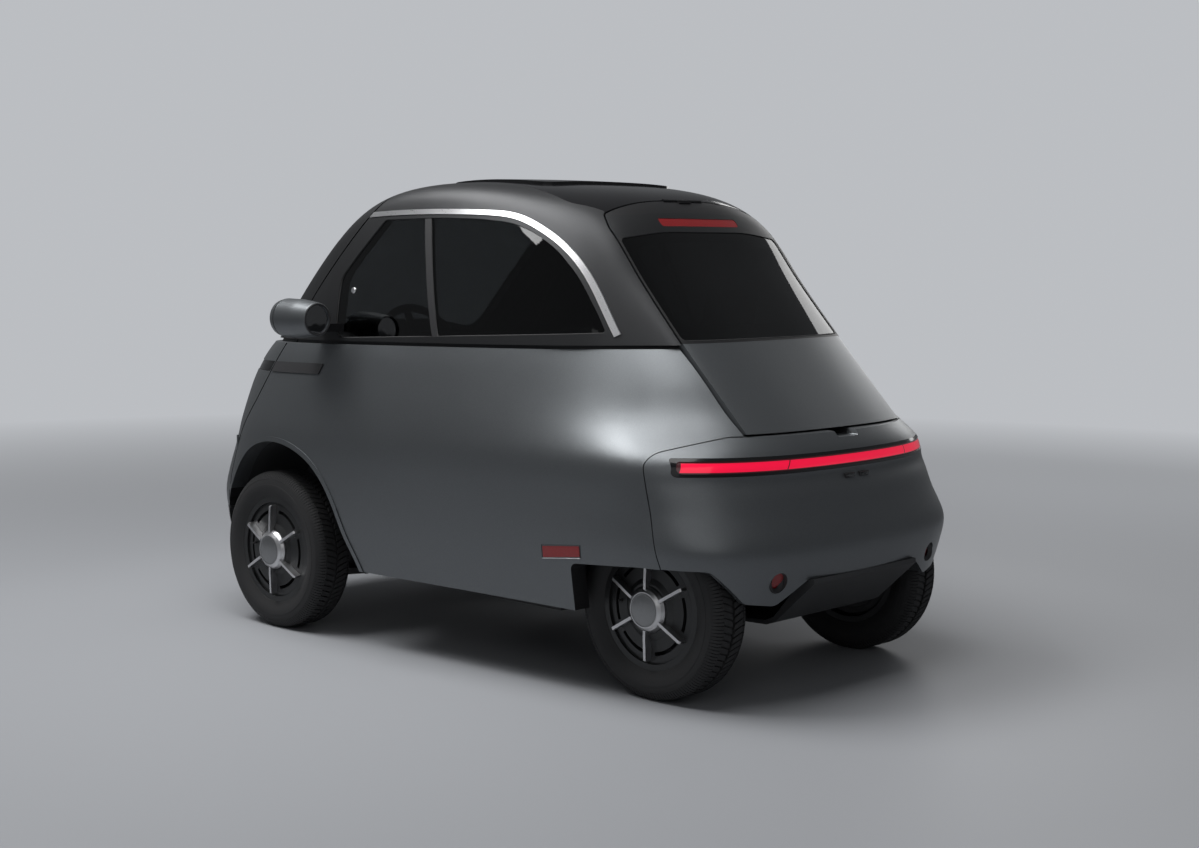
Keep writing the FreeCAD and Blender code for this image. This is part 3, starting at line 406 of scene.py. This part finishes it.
def bead(name, lines, radius, material, body, closed=True):
    """A round cord of rubber or steel along each line of points."""
    curve = bpy.data.curves.new(name, "CURVE")
    curve.dimensions = "3D"
    curve.bevel_depth = radius
    curve.bevel_resolution = 2
    curve.use_fill_caps = not closed
    for line in lines:
        spline = curve.splines.new("POLY")
        spline.points.add(len(line) - 1)
        for point, spot in zip(spline.points, line):
            point.co = (*spot, 1)
        spline.use_cyclic_u = closed
    holder = bpy.data.objects.new(name + "_line", curve)
    shape = bmesh.new()
    tube = bpy.data.meshes.new_from_object(holder)
    shape.from_mesh(tube)
    bpy.data.objects.remove(holder)
    bpy.data.curves.remove(curve)
    bpy.data.meshes.remove(tube)
    return mesh_piece(name, shape, material, body, angle=60.0)


for node, body, outward in (
        ("side_glass", "chassis", lambda spot: (0, math.copysign(1, spot.y), 0.35)),
        ("rear_glass", "rear_hatch", lambda spot: (-0.80, 0.5 * spot.y, 0.55)),
        ("windscreen", "front_door", lambda spot: (0.85, spot.y, 0.45))):
    bead(node + "_seal", outer_edges(node, outward), 0.0028, rubber, body)

# Wiper: a black steel arm on a pivot in the door frame, with its rubber blade at rest low on
# the windscreen.
trees = {}


def cast(node, start, direction):
    """Where a line from start first meets a CAD node, and the node's outward normal there."""
    if node not in trees:
        trees[node] = BVHTree.FromObject(frame["nodes"][node],
                                         bpy.context.evaluated_depsgraph_get())
    spot, normal, index, distance = trees[node].ray_cast(Vector(start), Vector(direction))
    if spot is not None and normal.dot(Vector(direction)) > 0:
        normal = -normal
    return spot, normal


blade_line = []
for step in range(9):
    skin, normal = cast("windscreen", (2.0, 0.020 + 0.045 * step, 1.018 + 0.003 * step),
                        (-1, 0, 0))
    blade_line.append(skin + normal * 0.0075)
pivot, normal = cast("door_frame", (2.0, -0.080, 0.972), (-1, 0, 0))
skin, away = cast("windscreen", (2.0, 0.100, 1.012), (-1, 0, 0))
arm_line = [pivot - normal * 0.002, pivot + normal * 0.016, skin + away * 0.019,
            blade_line[4] + away * 0.006]
bead("wiper_blade", [blade_line], 0.0048, rubber, "front_door", closed=False)
bead("wiper_arm", [arm_line], 0.0042, dark_trim, "front_door", closed=False)

# Window latches: a small pale round knob on each front side window, turned from thin
# aluminium and fixed flat on the pane.
for side, out in (("left", 1), ("right", -1)):
    skin, normal = cast("side_glass", (0.385, out * 2.0, 1.150), (0, -out, 0))
    knob = bmesh.new()
    bmesh.ops.create_cone(knob, cap_ends=True, segments=40, radius1=0.0105, radius2=0.0085,
                          depth=0.004)
    bmesh.ops.transform(knob, verts=knob.verts[:],
                        matrix=Matrix.Translation(skin + normal * 0.0018)
                        @ normal.to_track_quat("Z", "Y").to_matrix().to_4x4())
    mesh_piece("window_knob_" + side, knob, bright_trim, "chassis")

# Tail lamp: a lit red bar across the car, split twice, with a clear black edge, sunk in a
# gloss black surround. The high brake lamp and the reflectors are dull red and not lit.
def lit_bar(name, colour, glow):
    material, nodes, links, output = new_material(name)
    shader = nodes.new("ShaderNodeBsdfPrincipled")
    shader.inputs["Coat Weight"].default_value = 1.0
    shader.inputs["Coat Roughness"].default_value = 0.05
    shader.inputs["Roughness"].default_value = 0.25
    links.new(shader.outputs["BSDF"], output.inputs["Surface"])
    place = nodes.new("ShaderNodeTexCoord")
    spot = nodes.new("ShaderNodeSeparateXYZ")
    links.new(place.outputs["Object"], spot.inputs[0])
    height = figure(nodes, links, "SUBTRACT", spot.outputs["Z"], 0.6895)
    from_middle = figure(nodes, links, "ABSOLUTE", spot.outputs["Y"])
    slanted = figure(nodes, links, "MULTIPLY_ADD", height, 0.42, from_middle)
    inside = figure(nodes, links, "SUBTRACT", 0.0132, figure(nodes, links, "ABSOLUTE", height))
    end = figure(nodes, links, "SUBTRACT", 0.574, slanted)
    split = figure(nodes, links, "SUBTRACT", figure(nodes, links, "ABSOLUTE",
                   figure(nodes, links, "SUBTRACT", slanted, 0.285)), 0.0013)
    depth = figure(nodes, links, "MINIMUM", figure(nodes, links, "MINIMUM", inside, end), split)
    lit = nodes.new("ShaderNodeMapRange")
    lit.inputs["From Min"].default_value = 0.0
    lit.inputs["From Max"].default_value = 0.0014
    links.new(depth, lit.inputs["Value"])
    shades = shaded(nodes, links, lit.outputs["Result"], (0.035, 0.004, 0.006), colour)
    links.new(shades.outputs["Color"], shader.inputs["Base Color"])
    links.new(shades.outputs["Color"], shader.inputs["Emission Color"])
    shader.inputs["Emission Strength"].default_value = glow
    return material


def red_plastic(name, colour, roughness):
    material, nodes, links, output = new_material(name)
    shader = nodes.new("ShaderNodeBsdfPrincipled")
    shader.inputs["Coat Weight"].default_value = 0.3
    shader.inputs["Coat Roughness"].default_value = 0.03
    links.new(shader.outputs["BSDF"], output.inputs["Surface"])
    place = nodes.new("ShaderNodeTexCoord")
    prisms = nodes.new("ShaderNodeTexVoronoi")
    prisms.inputs["Scale"].default_value = 320.0
    links.new(place.outputs["Object"], prisms.inputs["Vector"])
    shades = shaded(nodes, links, prisms.outputs["Distance"], [c * 0.65 for c in colour],
                    [c * 1.3 for c in colour])
    links.new(shades.outputs["Color"], shader.inputs["Base Color"])
    shader.inputs["Roughness"].default_value = roughness
    bumped(nodes, links, shader, prisms.outputs["Distance"], 0.25, 0.0008)
    return material


dress(lit_bar("lit_red", (0.80, 0.0, 0.040), 0.82), "tail_lens")
dress(red_plastic("dull_red", (0.260, 0.008, 0.010), 0.30), "brake_lamp", "reflectors")
dress(gloss_black, "tail_bezel")

# Tail reflectors: round, each at the bottom of a moulded black cone that leads in from the
# skin of the tail and is clipped in from behind.
towards_back = Matrix.Rotation(math.radians(-90), 4, "Y")


def turned_piece(name, place, turn, profile, material, body, steps=48):
    """A turned part: its closed profile (radius, along) spun about +Z, then laid along an axis."""
    shape = bmesh.new()
    line = [shape.verts.new((radius, 0, along)) for radius, along in profile]
    edges = [shape.edges.new((line[i - 1], line[i])) for i in range(len(line))]
    bmesh.ops.spin(shape, geom=line + edges, cent=(0, 0, 0), axis=(0, 0, 1), angle=math.tau,
                   steps=steps, use_merge=True, use_duplicate=False)
    bmesh.ops.remove_doubles(shape, verts=shape.verts[:], dist=1e-6)
    bmesh.ops.transform(shape, matrix=Matrix.Translation(place) @ turn, verts=shape.verts[:])
    return mesh_piece(name, shape, material, body)


reflector_height = 0.366
for side, y in (("left", 0.375), ("right", -0.375)):
    skin, normal = cast("reflectors", (-2.0, y, reflector_height), (1, 0, 0))
    turned_piece("reflector_cone_" + side, (skin.x, y, reflector_height), towards_back,
                 [(0.0160, 0.0003), (0.0297, 0.0003), (0.0297, 0.0075), (0.0285, 0.0085),
                  (0.0170, 0.0022)], dark_trim, "chassis")

# Side reflector frames: a thin black moulded surround with a bright lower edge, pressed into
# the skin round each reflector.
def corners_of(geometry):
    return [item for item in geometry if isinstance(item, bmesh.types.BMVert)]


reflector_corners = [(-0.7205, 0.4105), (-0.5683, 0.3932), (-0.5683, 0.4340), (-0.7205, 0.4490)]
for side, out in (("left", 1), ("right", -1)):
    surround = bmesh.new()
    spots = [cast("side_panels", (x, out * 2.0, z), (0, -out, 0)) for x, z in reflector_corners]
    plate = surround.faces.new([surround.verts.new(skin) for skin, normal in spots])
    away = spots[0][1]
    bmesh.ops.inset_region(surround, faces=[plate], thickness=0.0044, use_even_offset=True,
                           use_boundary=True)
    bmesh.ops.delete(surround, geom=[plate], context="FACES_ONLY")
    raised = bmesh.ops.extrude_face_region(surround, geom=surround.faces[:])["geom"]
    bmesh.ops.translate(surround, verts=corners_of(raised), vec=away * 0.0016)
    mesh_piece("reflector_surround_" + side, surround, dark_trim, "chassis")
    bead("reflector_edge_" + side, [[spots[0][0] + away * 0.0014, spots[1][0] + away * 0.0014]],
         0.0012, bright_trim, "chassis", closed=False)

# Hatch handle: a black liner in the notch at the tail's top edge is painted shade, standing in
# for the shade inside the notch. Plate lamps: two small black housings with clear lenses, under
# the lamp bar.
def block_of(outline, y0, y1, radius):
    """Closed block: a side-view outline (x, z) pushed across from y0 to y1, its edges rounded."""
    shape = bmesh.new()
    face = shape.faces.new([shape.verts.new((x, y0, z)) for x, z in outline])
    pushed = bmesh.ops.extrude_face_region(shape, geom=[face])["geom"]
    bmesh.ops.translate(shape, verts=corners_of(pushed), vec=(0, y1 - y0, 0))
    if radius:
        bmesh.ops.bevel(shape, geom=shape.edges[:], offset=radius, segments=4, profile=0.5,
                        material=-1, affect="EDGES")
    bmesh.ops.recalc_face_normals(shape, faces=shape.faces[:])
    return shape


# Painted shade: this black liner covers the lit floor and end walls of the handle notch, so the
# notch reads dark.
notch_shade_shape = bmesh.new()
notch_shade_outline = [(-0.0520, 0.7660), (-0.0475, 0.7504), (0.0475, 0.7504), (0.0520, 0.7660),
            (0.0495, 0.7660), (0.0455, 0.7530), (-0.0455, 0.7530), (-0.0495, 0.7660)]
notch_shade_face = notch_shade_shape.faces.new([notch_shade_shape.verts.new((-1.127, y, z)) for y, z in notch_shade_outline])
notch_shade_back = bmesh.ops.extrude_face_region(notch_shade_shape, geom=[notch_shade_face])["geom"]
bmesh.ops.translate(notch_shade_shape, verts=corners_of(notch_shade_back), vec=(0.055, 0, 0))
mesh_piece("hatch_notch_painted_shade", notch_shade_shape, dark_trim, "chassis")
plate_lamp_height = 0.641
for side, y in (("left", 0.035), ("right", -0.035)):
    skin, normal = cast("tail_panel", (-2.0, y, plate_lamp_height), (1, 0, 0))
    housing = block_of([(-0.006, -0.007), (-0.008, 0.007), (0.010, 0.007), (0.010, -0.007)],
                       -0.021, 0.021, 0.0015)
    bmesh.ops.translate(housing, verts=housing.verts[:], vec=(skin.x, y, plate_lamp_height))
    mesh_piece("plate_lamp_" + side, housing, dark_trim, "chassis")
    lens = block_of([(-0.0085, -0.004), (-0.0095, 0.0035), (-0.004, 0.0035), (-0.004, -0.004)],
                    -0.017, 0.017, 0.001)
    bmesh.ops.translate(lens, verts=lens.verts[:], vec=(skin.x, y, plate_lamp_height))
    mesh_piece("plate_lens_" + side, lens, clear_glass, "chassis")

# Front lamp strip: one pane of dark glass from side to side of the door, let in flush under
# its belt line.
dress(dark_glass, "front_light")

# Pods: lamp and mirror barrels in body paint on short dark arms. A black rim holds the mirror
# that faces back. In front a bright rim holds a clear lens over a dark lamp bowl, with a
# bright ring in it and a small lens in its middle.
pod_side, pod_height = 0.768, 1.060


def lamp_bowl(name):
    material, nodes, links, output = new_material(name)
    shader = nodes.new("ShaderNodeBsdfPrincipled")
    shader.inputs["Coat Weight"].default_value = 1.0
    shader.inputs["Coat Roughness"].default_value = 0.02
    shader.inputs["Metallic"].default_value = 0.9
    links.new(shader.outputs["BSDF"], output.inputs["Surface"])
    place = nodes.new("ShaderNodeTexCoord")
    spot = nodes.new("ShaderNodeSeparateXYZ")
    links.new(place.outputs["Object"], spot.inputs[0])
    across = figure(nodes, links, "SUBTRACT",
                    figure(nodes, links, "ABSOLUTE", spot.outputs["Y"]), pod_side)
    rise = figure(nodes, links, "SUBTRACT", spot.outputs["Z"], pod_height)
    radius = figure(nodes, links, "SQRT", figure(nodes, links, "ADD",
                    figure(nodes, links, "MULTIPLY", across, across),
                    figure(nodes, links, "MULTIPLY", rise, rise)))
    rings = nodes.new("ShaderNodeValToRGB")
    rings.color_ramp.interpolation = "EASE"
    stops = [(0.00, 0.75), (0.20, 0.70), (0.24, 0.04), (0.42, 0.03), (0.46, 0.30), (0.66, 0.10),
             (0.72, 0.62), (0.80, 0.66), (0.85, 0.05), (1.00, 0.03)]
    for position, shade in stops[2:]:
        rings.color_ramp.elements.new(position)
    for element, (position, shade) in zip(rings.color_ramp.elements, stops):
        element.position = position
        element.color = (shade, shade, shade * 1.03, 1)
    links.new(figure(nodes, links, "MULTIPLY", radius, 20.8), rings.inputs["Fac"])
    links.new(rings.outputs["Color"], shader.inputs["Base Color"])
    links.new(figure(nodes, links, "MULTIPLY_ADD", radius, 1.5, 0.10), shader.inputs["Roughness"])
    return material


towards_front = Matrix.Rotation(math.radians(90), 4, "Y")
dress(satin_paint("pod_paint", *body_finish), "pod_housings")
dress(metal("mirror_glass", (0.55, 0.57, 0.60), 0.03, depth=0.0), "pod_mirrors")
dress(lamp_bowl("lamp_bowl"), "headlamp_lenses")
for side, y in (("left", pod_side), ("right", -pod_side)):
    turned_piece("mirror_rim_" + side, (0.3590, y, pod_height), towards_back,
                 [(0.0462, -0.002), (0.0462, 0.001), (0.0480, 0.002), (0.0505, 0.002),
                  (0.0515, 0.001), (0.0515, -0.002)], dark_trim, "chassis", steps=72)
    turned_piece("lamp_rim_" + side, (0.5370, y, pod_height), towards_front,
                 [(0.0475, -0.002), (0.0475, 0.0008), (0.0490, 0.0015), (0.0510, 0.0015),
                  (0.0518, 0.0008), (0.0518, -0.002)],
                 bright_trim, "chassis", steps=72)

# Tyres: moulded black rubber, 145/70 R13. Slanted blocks on each half of the tread leave a
# zigzag groove in the middle, and fine lugs run over each shoulder on to the sidewall.
wheel_middles = {"front_left": (0.6965, 0.641), "front_right": (0.6965, -0.641),
                 "rear_left": (-0.8695, 0.477), "rear_right": (-0.8695, -0.477)}
axle_height = 0.2665
tyre_sidewall = [(0.0518, 0.1712), (0.0535, 0.1770), (0.0575, 0.1800), (0.0592, 0.1842),
                 (0.0606, 0.1870), (0.0655, 0.1950), (0.0700, 0.2055), (0.0722, 0.2160),
                 (0.0723, 0.2230), (0.0714, 0.2235), (0.0712, 0.2300), (0.0694, 0.2390),
                 (0.0660, 0.2470), (0.0600, 0.2535), (0.0440, 0.2575), (0.0200, 0.2585)]
tyre_inside = [(0.0400, 0.2450), (0.0600, 0.2250), (0.0560, 0.1900), (0.0480, 0.1712)]
tread_pitches = 80
carcass_radius, tread_radius, tread_crown = 0.2565, 0.2664, 0.15625
block_outline = [(0.0000, 0.0030), (0.0160, 0.0070), (0.0290, 0.0418), (0.0122, 0.0418)]
lug_section = [(0.0435, 0.2664), (0.0520, 0.2640), (0.0592, 0.2588), (0.0650, 0.2508),
               (0.0698, 0.2416), (0.0688, 0.2410), (0.0600, 0.2520), (0.0435, 0.2560)]


def tread_block(shape):
    """One block of the tread: its plan outline pushed out from the carcass, top edges eased."""
    corners = [shape.verts.new((u, a, math.sqrt(carcass_radius ** 2 - u ** 2)))
               for u, a in block_outline]
    base = shape.faces.new(corners)
    pushed = bmesh.ops.extrude_face_region(shape, geom=[base])["geom"]
    for corner in corners_of(pushed):
        radius = math.hypot(corner.co.x, corner.co.z)
        crowned = tread_radius - tread_crown * corner.co.y ** 2
        corner.co.x *= crowned / radius
        corner.co.z *= crowned / radius
    top_edges = [e for e in pushed if isinstance(e, bmesh.types.BMEdge)]
    bmesh.ops.bevel(shape, geom=top_edges, offset=0.0006, segments=1, profile=0.5, material=-1,
                    affect="EDGES")


def shoulder_lug(shape, start, sweep):
    """One lug over the shoulder: its section turned a little way round the wheel."""
    corners = [shape.verts.new((b * math.sin(start), a, b * math.cos(start)))
               for a, b in lug_section]
    bmesh.ops.spin(shape, geom=[shape.faces.new(corners)], cent=(0, 0, 0), axis=(0, 1, 0),
                   angle=sweep, steps=1, use_duplicate=False)


def tyre(place_name):
    x, y = wheel_middles[place_name]
    shape = bmesh.new()
    pitch = math.tau / tread_pitches
    for share in (0.0, 0.5):
        shoulder_lug(shape, pitch * share, pitch * 0.40)
    tread_block(shape)
    everything = shape.verts[:] + shape.edges[:] + shape.faces[:]
    half = corners_of(bmesh.ops.duplicate(shape, geom=everything)["geom"])
    bmesh.ops.scale(shape, verts=half, vec=(1, -1, 1))
    bmesh.ops.rotate(shape, verts=half, cent=(0, 0, 0), matrix=Matrix.Rotation(pitch / 2, 3, "Y"))
    bmesh.ops.spin(shape, geom=shape.verts[:] + shape.edges[:] + shape.faces[:], cent=(0, 0, 0),
                   axis=(0, 1, 0), angle=math.tau - pitch, steps=tread_pitches - 1,
                   use_duplicate=True)
    outer = tyre_sidewall + [(-a, b) for a, b in reversed(tyre_sidewall)]
    inner = [(-a, b) for a, b in reversed(tyre_inside)] + tyre_inside
    line = [shape.verts.new((0, a, b)) for a, b in outer + inner]
    edges = [shape.edges.new((line[i - 1], line[i])) for i in range(len(line))]
    bmesh.ops.spin(shape, geom=line + edges, cent=(0, 0, 0), axis=(0, 1, 0), angle=math.tau,
                   steps=180, use_merge=True, use_duplicate=False)
    bmesh.ops.translate(shape, verts=shape.verts[:], vec=(x, y, axle_height))
    piece = mesh_piece("tread_tyre_" + place_name, shape, rubber, "wheel_" + place_name)
    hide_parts("tyre_" + place_name)


for place_name in wheel_middles:
    tyre(place_name)

# Rims and wheel trims: dark painted steel discs, and clipped on them bright brushed trims of
# six bars and a domed cap.
rim_paint = satin_paint("rim_paint", (0.050, 0.051, 0.052), 0.06, 0.45, 0.15)
wheel_bars = metal("wheel_bars", (0.62, 0.62, 0.63), 0.34, (1, 1, 1), 0.3, 250.0)
for place_name in wheel_middles:
    dress(rim_paint, "rim_" + place_name)
    dress(wheel_bars, "wheel_trim_" + place_name)

# Wheel caps: a flat brushed face let into each domed cap, with a fine turned groove at its
# edge. Each rim has a rubber valve and is closed behind by its cast brake drum.
def brushed_face(name, middle):
    material, nodes, links, output = new_material(name)
    shader = nodes.new("ShaderNodeBsdfPrincipled")
    shader.inputs["Base Color"].default_value = (0.27, 0.275, 0.28, 1)
    shader.inputs["Metallic"].default_value = 1.0
    links.new(shader.outputs["BSDF"], output.inputs["Surface"])
    place = nodes.new("ShaderNodeTexCoord")
    centred = nodes.new("ShaderNodeMapping")
    centred.inputs["Location"].default_value = (-middle[0], 0.0, -axle_height)
    links.new(place.outputs["Object"], centred.inputs["Vector"])
    rings = nodes.new("ShaderNodeTexWave")
    rings.wave_type = "RINGS"
    rings.rings_direction = "Y"
    rings.inputs["Scale"].default_value = 330.0
    rings.inputs["Distortion"].default_value = 2.5
    rings.inputs["Detail"].default_value = 3.0
    links.new(centred.outputs["Vector"], rings.inputs["Vector"])
    roughened(nodes, links, shader, rings.outputs["Fac"], 0.26, 0.46)
    bumped(nodes, links, shader, rings.outputs["Fac"], 0.12, 0.0002)
    return material


towards_left = Matrix.Rotation(math.radians(-90), 4, "X")
towards_right = Matrix.Rotation(math.radians(90), 4, "X")
cast_steel = moulded_plastic("cast_steel", (0.045, 0.045, 0.046), 0.55, grain=0.5,
                             grain_scale=180.0)
for place_name, (x, y) in wheel_middles.items():
    turn, out = (towards_left, 1) if y > 0 else (towards_right, -1)
    body = "wheel_" + place_name
    face_metal = brushed_face("cap_face_" + place_name, (x, y))
    turned_piece("cap_face_" + place_name, (x, y + out * 0.0838, axle_height), turn,
                 [(0.0000, 0.0012), (0.0420, 0.0010), (0.0440, 0.0003), (0.0452, 0.0003),
                  (0.0465, 0.0010), (0.0485, 0.0004), (0.0490, 0.0), (0.0, 0.0)],
                 face_metal, body)
    turned_piece("valve_" + place_name, (x + 0.112, y + out * 0.046, axle_height + 0.010), turn,
                 [(0.0, 0.0), (0.0045, 0.0), (0.0045, 0.012), (0.0035, 0.014), (0.0035, 0.020),
                  (0.0028, 0.021), (0.0, 0.021)], rubber, body, steps=20)
    inside = -0.050 if "rear" in place_name else -0.030
    turned_piece("brake_drum_" + place_name, (x, y, axle_height), turn,
                 [(0.0605, inside), (0.1300, inside), (0.1340, inside + 0.004),
                  (0.1340, inside + 0.008), (0.1500, inside + 0.010), (0.1530, inside + 0.013),
                  (0.1530, inside + 0.018), (0.1480, inside + 0.020), (0.1480, 0.012),
                  (0.1420, 0.018), (0.0605, 0.018)],
                 cast_steel, body, steps=72)

# Underside: black cast and painted running gear and battery case, and a bare aluminium
# motor case, bolted to the floor and to the rear axle.
dress(cast_steel, "front_arms", "knuckle_left", "knuckle_right", "rear_axle", "battery_block")
motor_case = metal("motor_case", (0.30, 0.30, 0.31), 0.5, depth=0.5, grain_scale=120.0)
dress(motor_case, "motor_block")

# Rear springs: black coil springs of round wire with grey dampers inside, one a side between
# the axle and the load deck.
spring_x, coil_radius = -0.800, 0.030
spring_shape, damper_shape = bmesh.new(), bmesh.new()
for y in (0.335, -0.335):
    wire = bmesh.ops.create_circle(spring_shape, segments=10, radius=0.0055,
                                   matrix=Matrix.Translation((spring_x + coil_radius, y, 0.318))
                                   @ Matrix.Rotation(math.radians(90), 4, "X"))["verts"]
    wire_edges = [edge for edge in spring_shape.edges if edge.verts[0] in wire]
    bmesh.ops.spin(spring_shape, geom=wire + wire_edges, cent=(spring_x, y, 0), axis=(0, 0, 1),
                   dvec=(0, 0, 0.0015), angle=math.tau * 6, steps=144, use_duplicate=False)
    for radius, low, high in ((0.0150, 0.290, 0.440), (0.0090, 0.440, 0.596),
                              (0.0390, 0.304, 0.312), (0.0390, 0.540, 0.548),
                              (0.0200, 0.548, 0.598)):
        middle = Matrix.Translation((spring_x, y, (low + high) / 2))
        bmesh.ops.create_cone(damper_shape, cap_ends=True, segments=32, radius1=radius,
                              radius2=radius, depth=high - low, matrix=middle)
bmesh.ops.holes_fill(spring_shape, edges=[e for e in spring_shape.edges if e.is_boundary])
mesh_piece("rear_springs", spring_shape, gloss_black, "chassis")
mesh_piece("rear_dampers", damper_shape, cast_steel, "chassis")

# Motor guard: one black moulding under the motor and the rear axle, from wheel to wheel, with
# seven ribs along its lower side.
guard = block_of([(-0.884, 0.208), (-0.884, 0.213), (-0.600, 0.224), (-0.520, 0.262),
                  (-0.517, 0.258), (-0.598, 0.219)], -0.300, 0.300, 0.0)
for step in range(-3, 4):
    y = 0.08 * step
    rib = block_of([(-0.870, 0.2035), (-0.870, 0.2110), (-0.615, 0.2210), (-0.615, 0.2135)],
                   y - 0.004, y + 0.004, 0.0)
    rib_mesh = bpy.data.meshes.new("rib")
    rib.to_mesh(rib_mesh)
    rib.free()
    guard.from_mesh(rib_mesh)
    bpy.data.meshes.remove(rib_mesh)
mesh_piece("motor_guard", guard, dark_trim, "chassis")

# Cabin: floor, dash, wheelhouses, seat base, load deck and steering wheel, all moulded in
# grained black plastic and screwed to the body from inside.
cabin_plastic = moulded_plastic("cabin_plastic", (0.035, 0.036, 0.038), 0.6, grain=0.4)
dress(cabin_plastic, "floor_pan", "dash_bar", "load_deck", "seat_base", "steering_wheel",
      "rear_tray", "front_wheelhouses")

# Cabin fittings: a gloss black screen on the dash behind the steering wheel, and two pedals
# with rubber pads in the footwell.
screen = block_of([(0.500, 0.928), (0.488, 1.000), (0.496, 1.003), (0.520, 0.928)],
                  0.175, 0.365, 0.003)
mesh_piece("driver_screen", screen, gloss_black, "chassis")
for name, y in (("brake_pedal", 0.300), ("drive_pedal", 0.215)):
    pedal = block_of([(0.640, 0.345), (0.662, 0.415), (0.670, 0.412), (0.648, 0.342)],
                     y - 0.030, y + 0.030, 0.002)
    mesh_piece(name, pedal, rubber, "chassis")

# Bench seat: foam pads in dark woven cloth, sewn with a seam down the middle and channels
# across. The cushion, the backrest and two headrests are separate pads.
def woven_cloth(name, colour, thread):
    material, nodes, links, output = new_material(name)
    shader = nodes.new("ShaderNodeBsdfPrincipled")
    shader.inputs["Roughness"].default_value = 0.92
    shader.inputs["Sheen Weight"].default_value = 0.25
    links.new(shader.outputs["BSDF"], output.inputs["Surface"])
    place = nodes.new("ShaderNodeTexCoord")
    heights = []
    for direction in ("X", "Y", "Z"):
        threads = nodes.new("ShaderNodeTexWave")
        threads.bands_direction = direction
        threads.inputs["Scale"].default_value = thread
        threads.inputs["Distortion"].default_value = 0.6
        links.new(place.outputs["Object"], threads.inputs["Vector"])
        heights.append(threads.outputs["Fac"])
    weave = figure(nodes, links, "MULTIPLY_ADD", *heights)
    wear = noise(nodes, links, place.outputs["Object"], 6.0)
    worn = figure(nodes, links, "MULTIPLY", weave, wear)
    shades = shaded(nodes, links, worn, [c * 0.70 for c in colour], [c * 1.45 for c in colour])
    links.new(shades.outputs["Color"], shader.inputs["Base Color"])
    bumped(nodes, links, shader, weave, 0.5, 0.0008)
    return material


seat_cloth = woven_cloth("seat_cloth", (0.050, 0.052, 0.058), 380.0)


def swollen(name, shape, voxel, most):
    """Turns a block into a stuffed pad: even mesh, blown up a little, moves capped at most."""
    mesh = bpy.data.meshes.new(name)
    shape.to_mesh(mesh)
    shape.free()
    pad = bpy.data.objects.new(name, mesh)
    bpy.context.scene.collection.objects.link(pad)
    even = pad.modifiers.new("even", "REMESH")
    even.mode = "VOXEL"
    even.voxel_size = voxel
    pad.data = bpy.data.meshes.new_from_object(
        pad.evaluated_get(bpy.context.evaluated_depsgraph_get()))
    pad.modifiers.clear()
    start = [v.co.copy() for v in pad.data.vertices]
    puff = pad.modifiers.new("puff", "CLOTH")
    puff.settings.use_pressure = True
    puff.settings.uniform_pressure_force = 4.0
    puff.settings.effector_weights.gravity = 0.0
    for step in range(1, 21):
        bpy.context.scene.frame_set(step)
    blown = bpy.data.meshes.new_from_object(
        pad.evaluated_get(bpy.context.evaluated_depsgraph_get()))
    pad.modifiers.clear()
    for vertex, before, after in zip(pad.data.vertices, start, blown.vertices):
        move = after.co - before
        vertex.co = before + move * min(1.0, most / max(move.length, 1e-9))
    bpy.context.scene.frame_set(1)
    return pad


def sewn(pad, seams):
    """Pulls the cloth in along seams: each is (axis, place, half width, depth)."""
    for vertex in pad.data.vertices:
        pull = 0.0
        for axis, place, half, depth in seams:
            off = abs(vertex.co[axis] - place)
            if off < 3 * half:
                pull = max(pull, depth * math.exp(-(off / half) ** 2))
        vertex.co -= vertex.normal * pull


def finish_pad(pad):
    pad.data.materials.append(seat_cloth)
    pad.data.shade_smooth()
    smooth = pad.modifiers.new("smooth", "SUBSURF")
    smooth.levels = smooth.render_levels = 1
    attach(pad, "chassis")
    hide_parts("seat")


cushion_outline = [(-0.388, 0.382), (-0.388, 0.474), (0.120, 0.489), (0.130, 0.470),
                   (0.118, 0.382)]
back_outline = [(-0.386, 0.512), (-0.517, 0.948), (-0.440, 0.974), (-0.296, 0.566),
                (-0.290, 0.512)]
rest_outline = [(-0.531, 0.998), (-0.563, 1.145), (-0.494, 1.163), (-0.454, 1.020)]
bench_side = 0.488
long_seams = [(1, 0.0, 0.007, 0.013), (1, 0.40, 0.006, 0.008), (1, -0.40, 0.006, 0.008)]
cushion = swollen("seat_cushion", block_of(cushion_outline, -bench_side, bench_side, 0.020),
                  0.010, 0.010)
sewn(cushion, long_seams + [(0, x, 0.006, 0.007) for x in (0.02, -0.10, -0.22)])
finish_pad(cushion)
back = swollen("seat_backrest", block_of(back_outline, -bench_side, bench_side, 0.018),
               0.010, 0.010)
sewn(back, long_seams + [(2, z, 0.006, 0.007) for z in (0.64, 0.75, 0.86)])
finish_pad(back)
for side, y0, y1 in (("left", 0.138, 0.342), ("right", -0.342, -0.138)):
    rest = swollen("headrest_" + side, block_of(rest_outline, y0, y1, 0.016), 0.006, 0.006)
    sewn(rest, [(1, y, 0.004, 0.004) for y in (y0 + 0.022, y1 - 0.022)])
    finish_pad(rest)

# Headrest posts: bright round steel, two under each headrest, pushed into black moulded
# collars on top of the backrest.
steel_rod = metal("steel_rod", (0.60, 0.60, 0.61), 0.22, depth=0.05)
post_x = -0.4875
post_shape, collar_shape = bmesh.new(), bmesh.new()
for y in (0.190, 0.290, -0.190, -0.290):
    bmesh.ops.create_cone(post_shape, cap_ends=True, segments=24, radius1=0.006, radius2=0.006,
                          depth=0.075, matrix=Matrix.Translation((post_x, y, 0.987)))
    bmesh.ops.create_cone(collar_shape, cap_ends=True, segments=24, radius1=0.014, radius2=0.011,
                          depth=0.012, matrix=Matrix.Translation((post_x, y, 0.962)))
mesh_piece("headrest_posts", post_shape, steel_rod, "chassis")
mesh_piece("headrest_collars", collar_shape, dark_trim, "chassis")
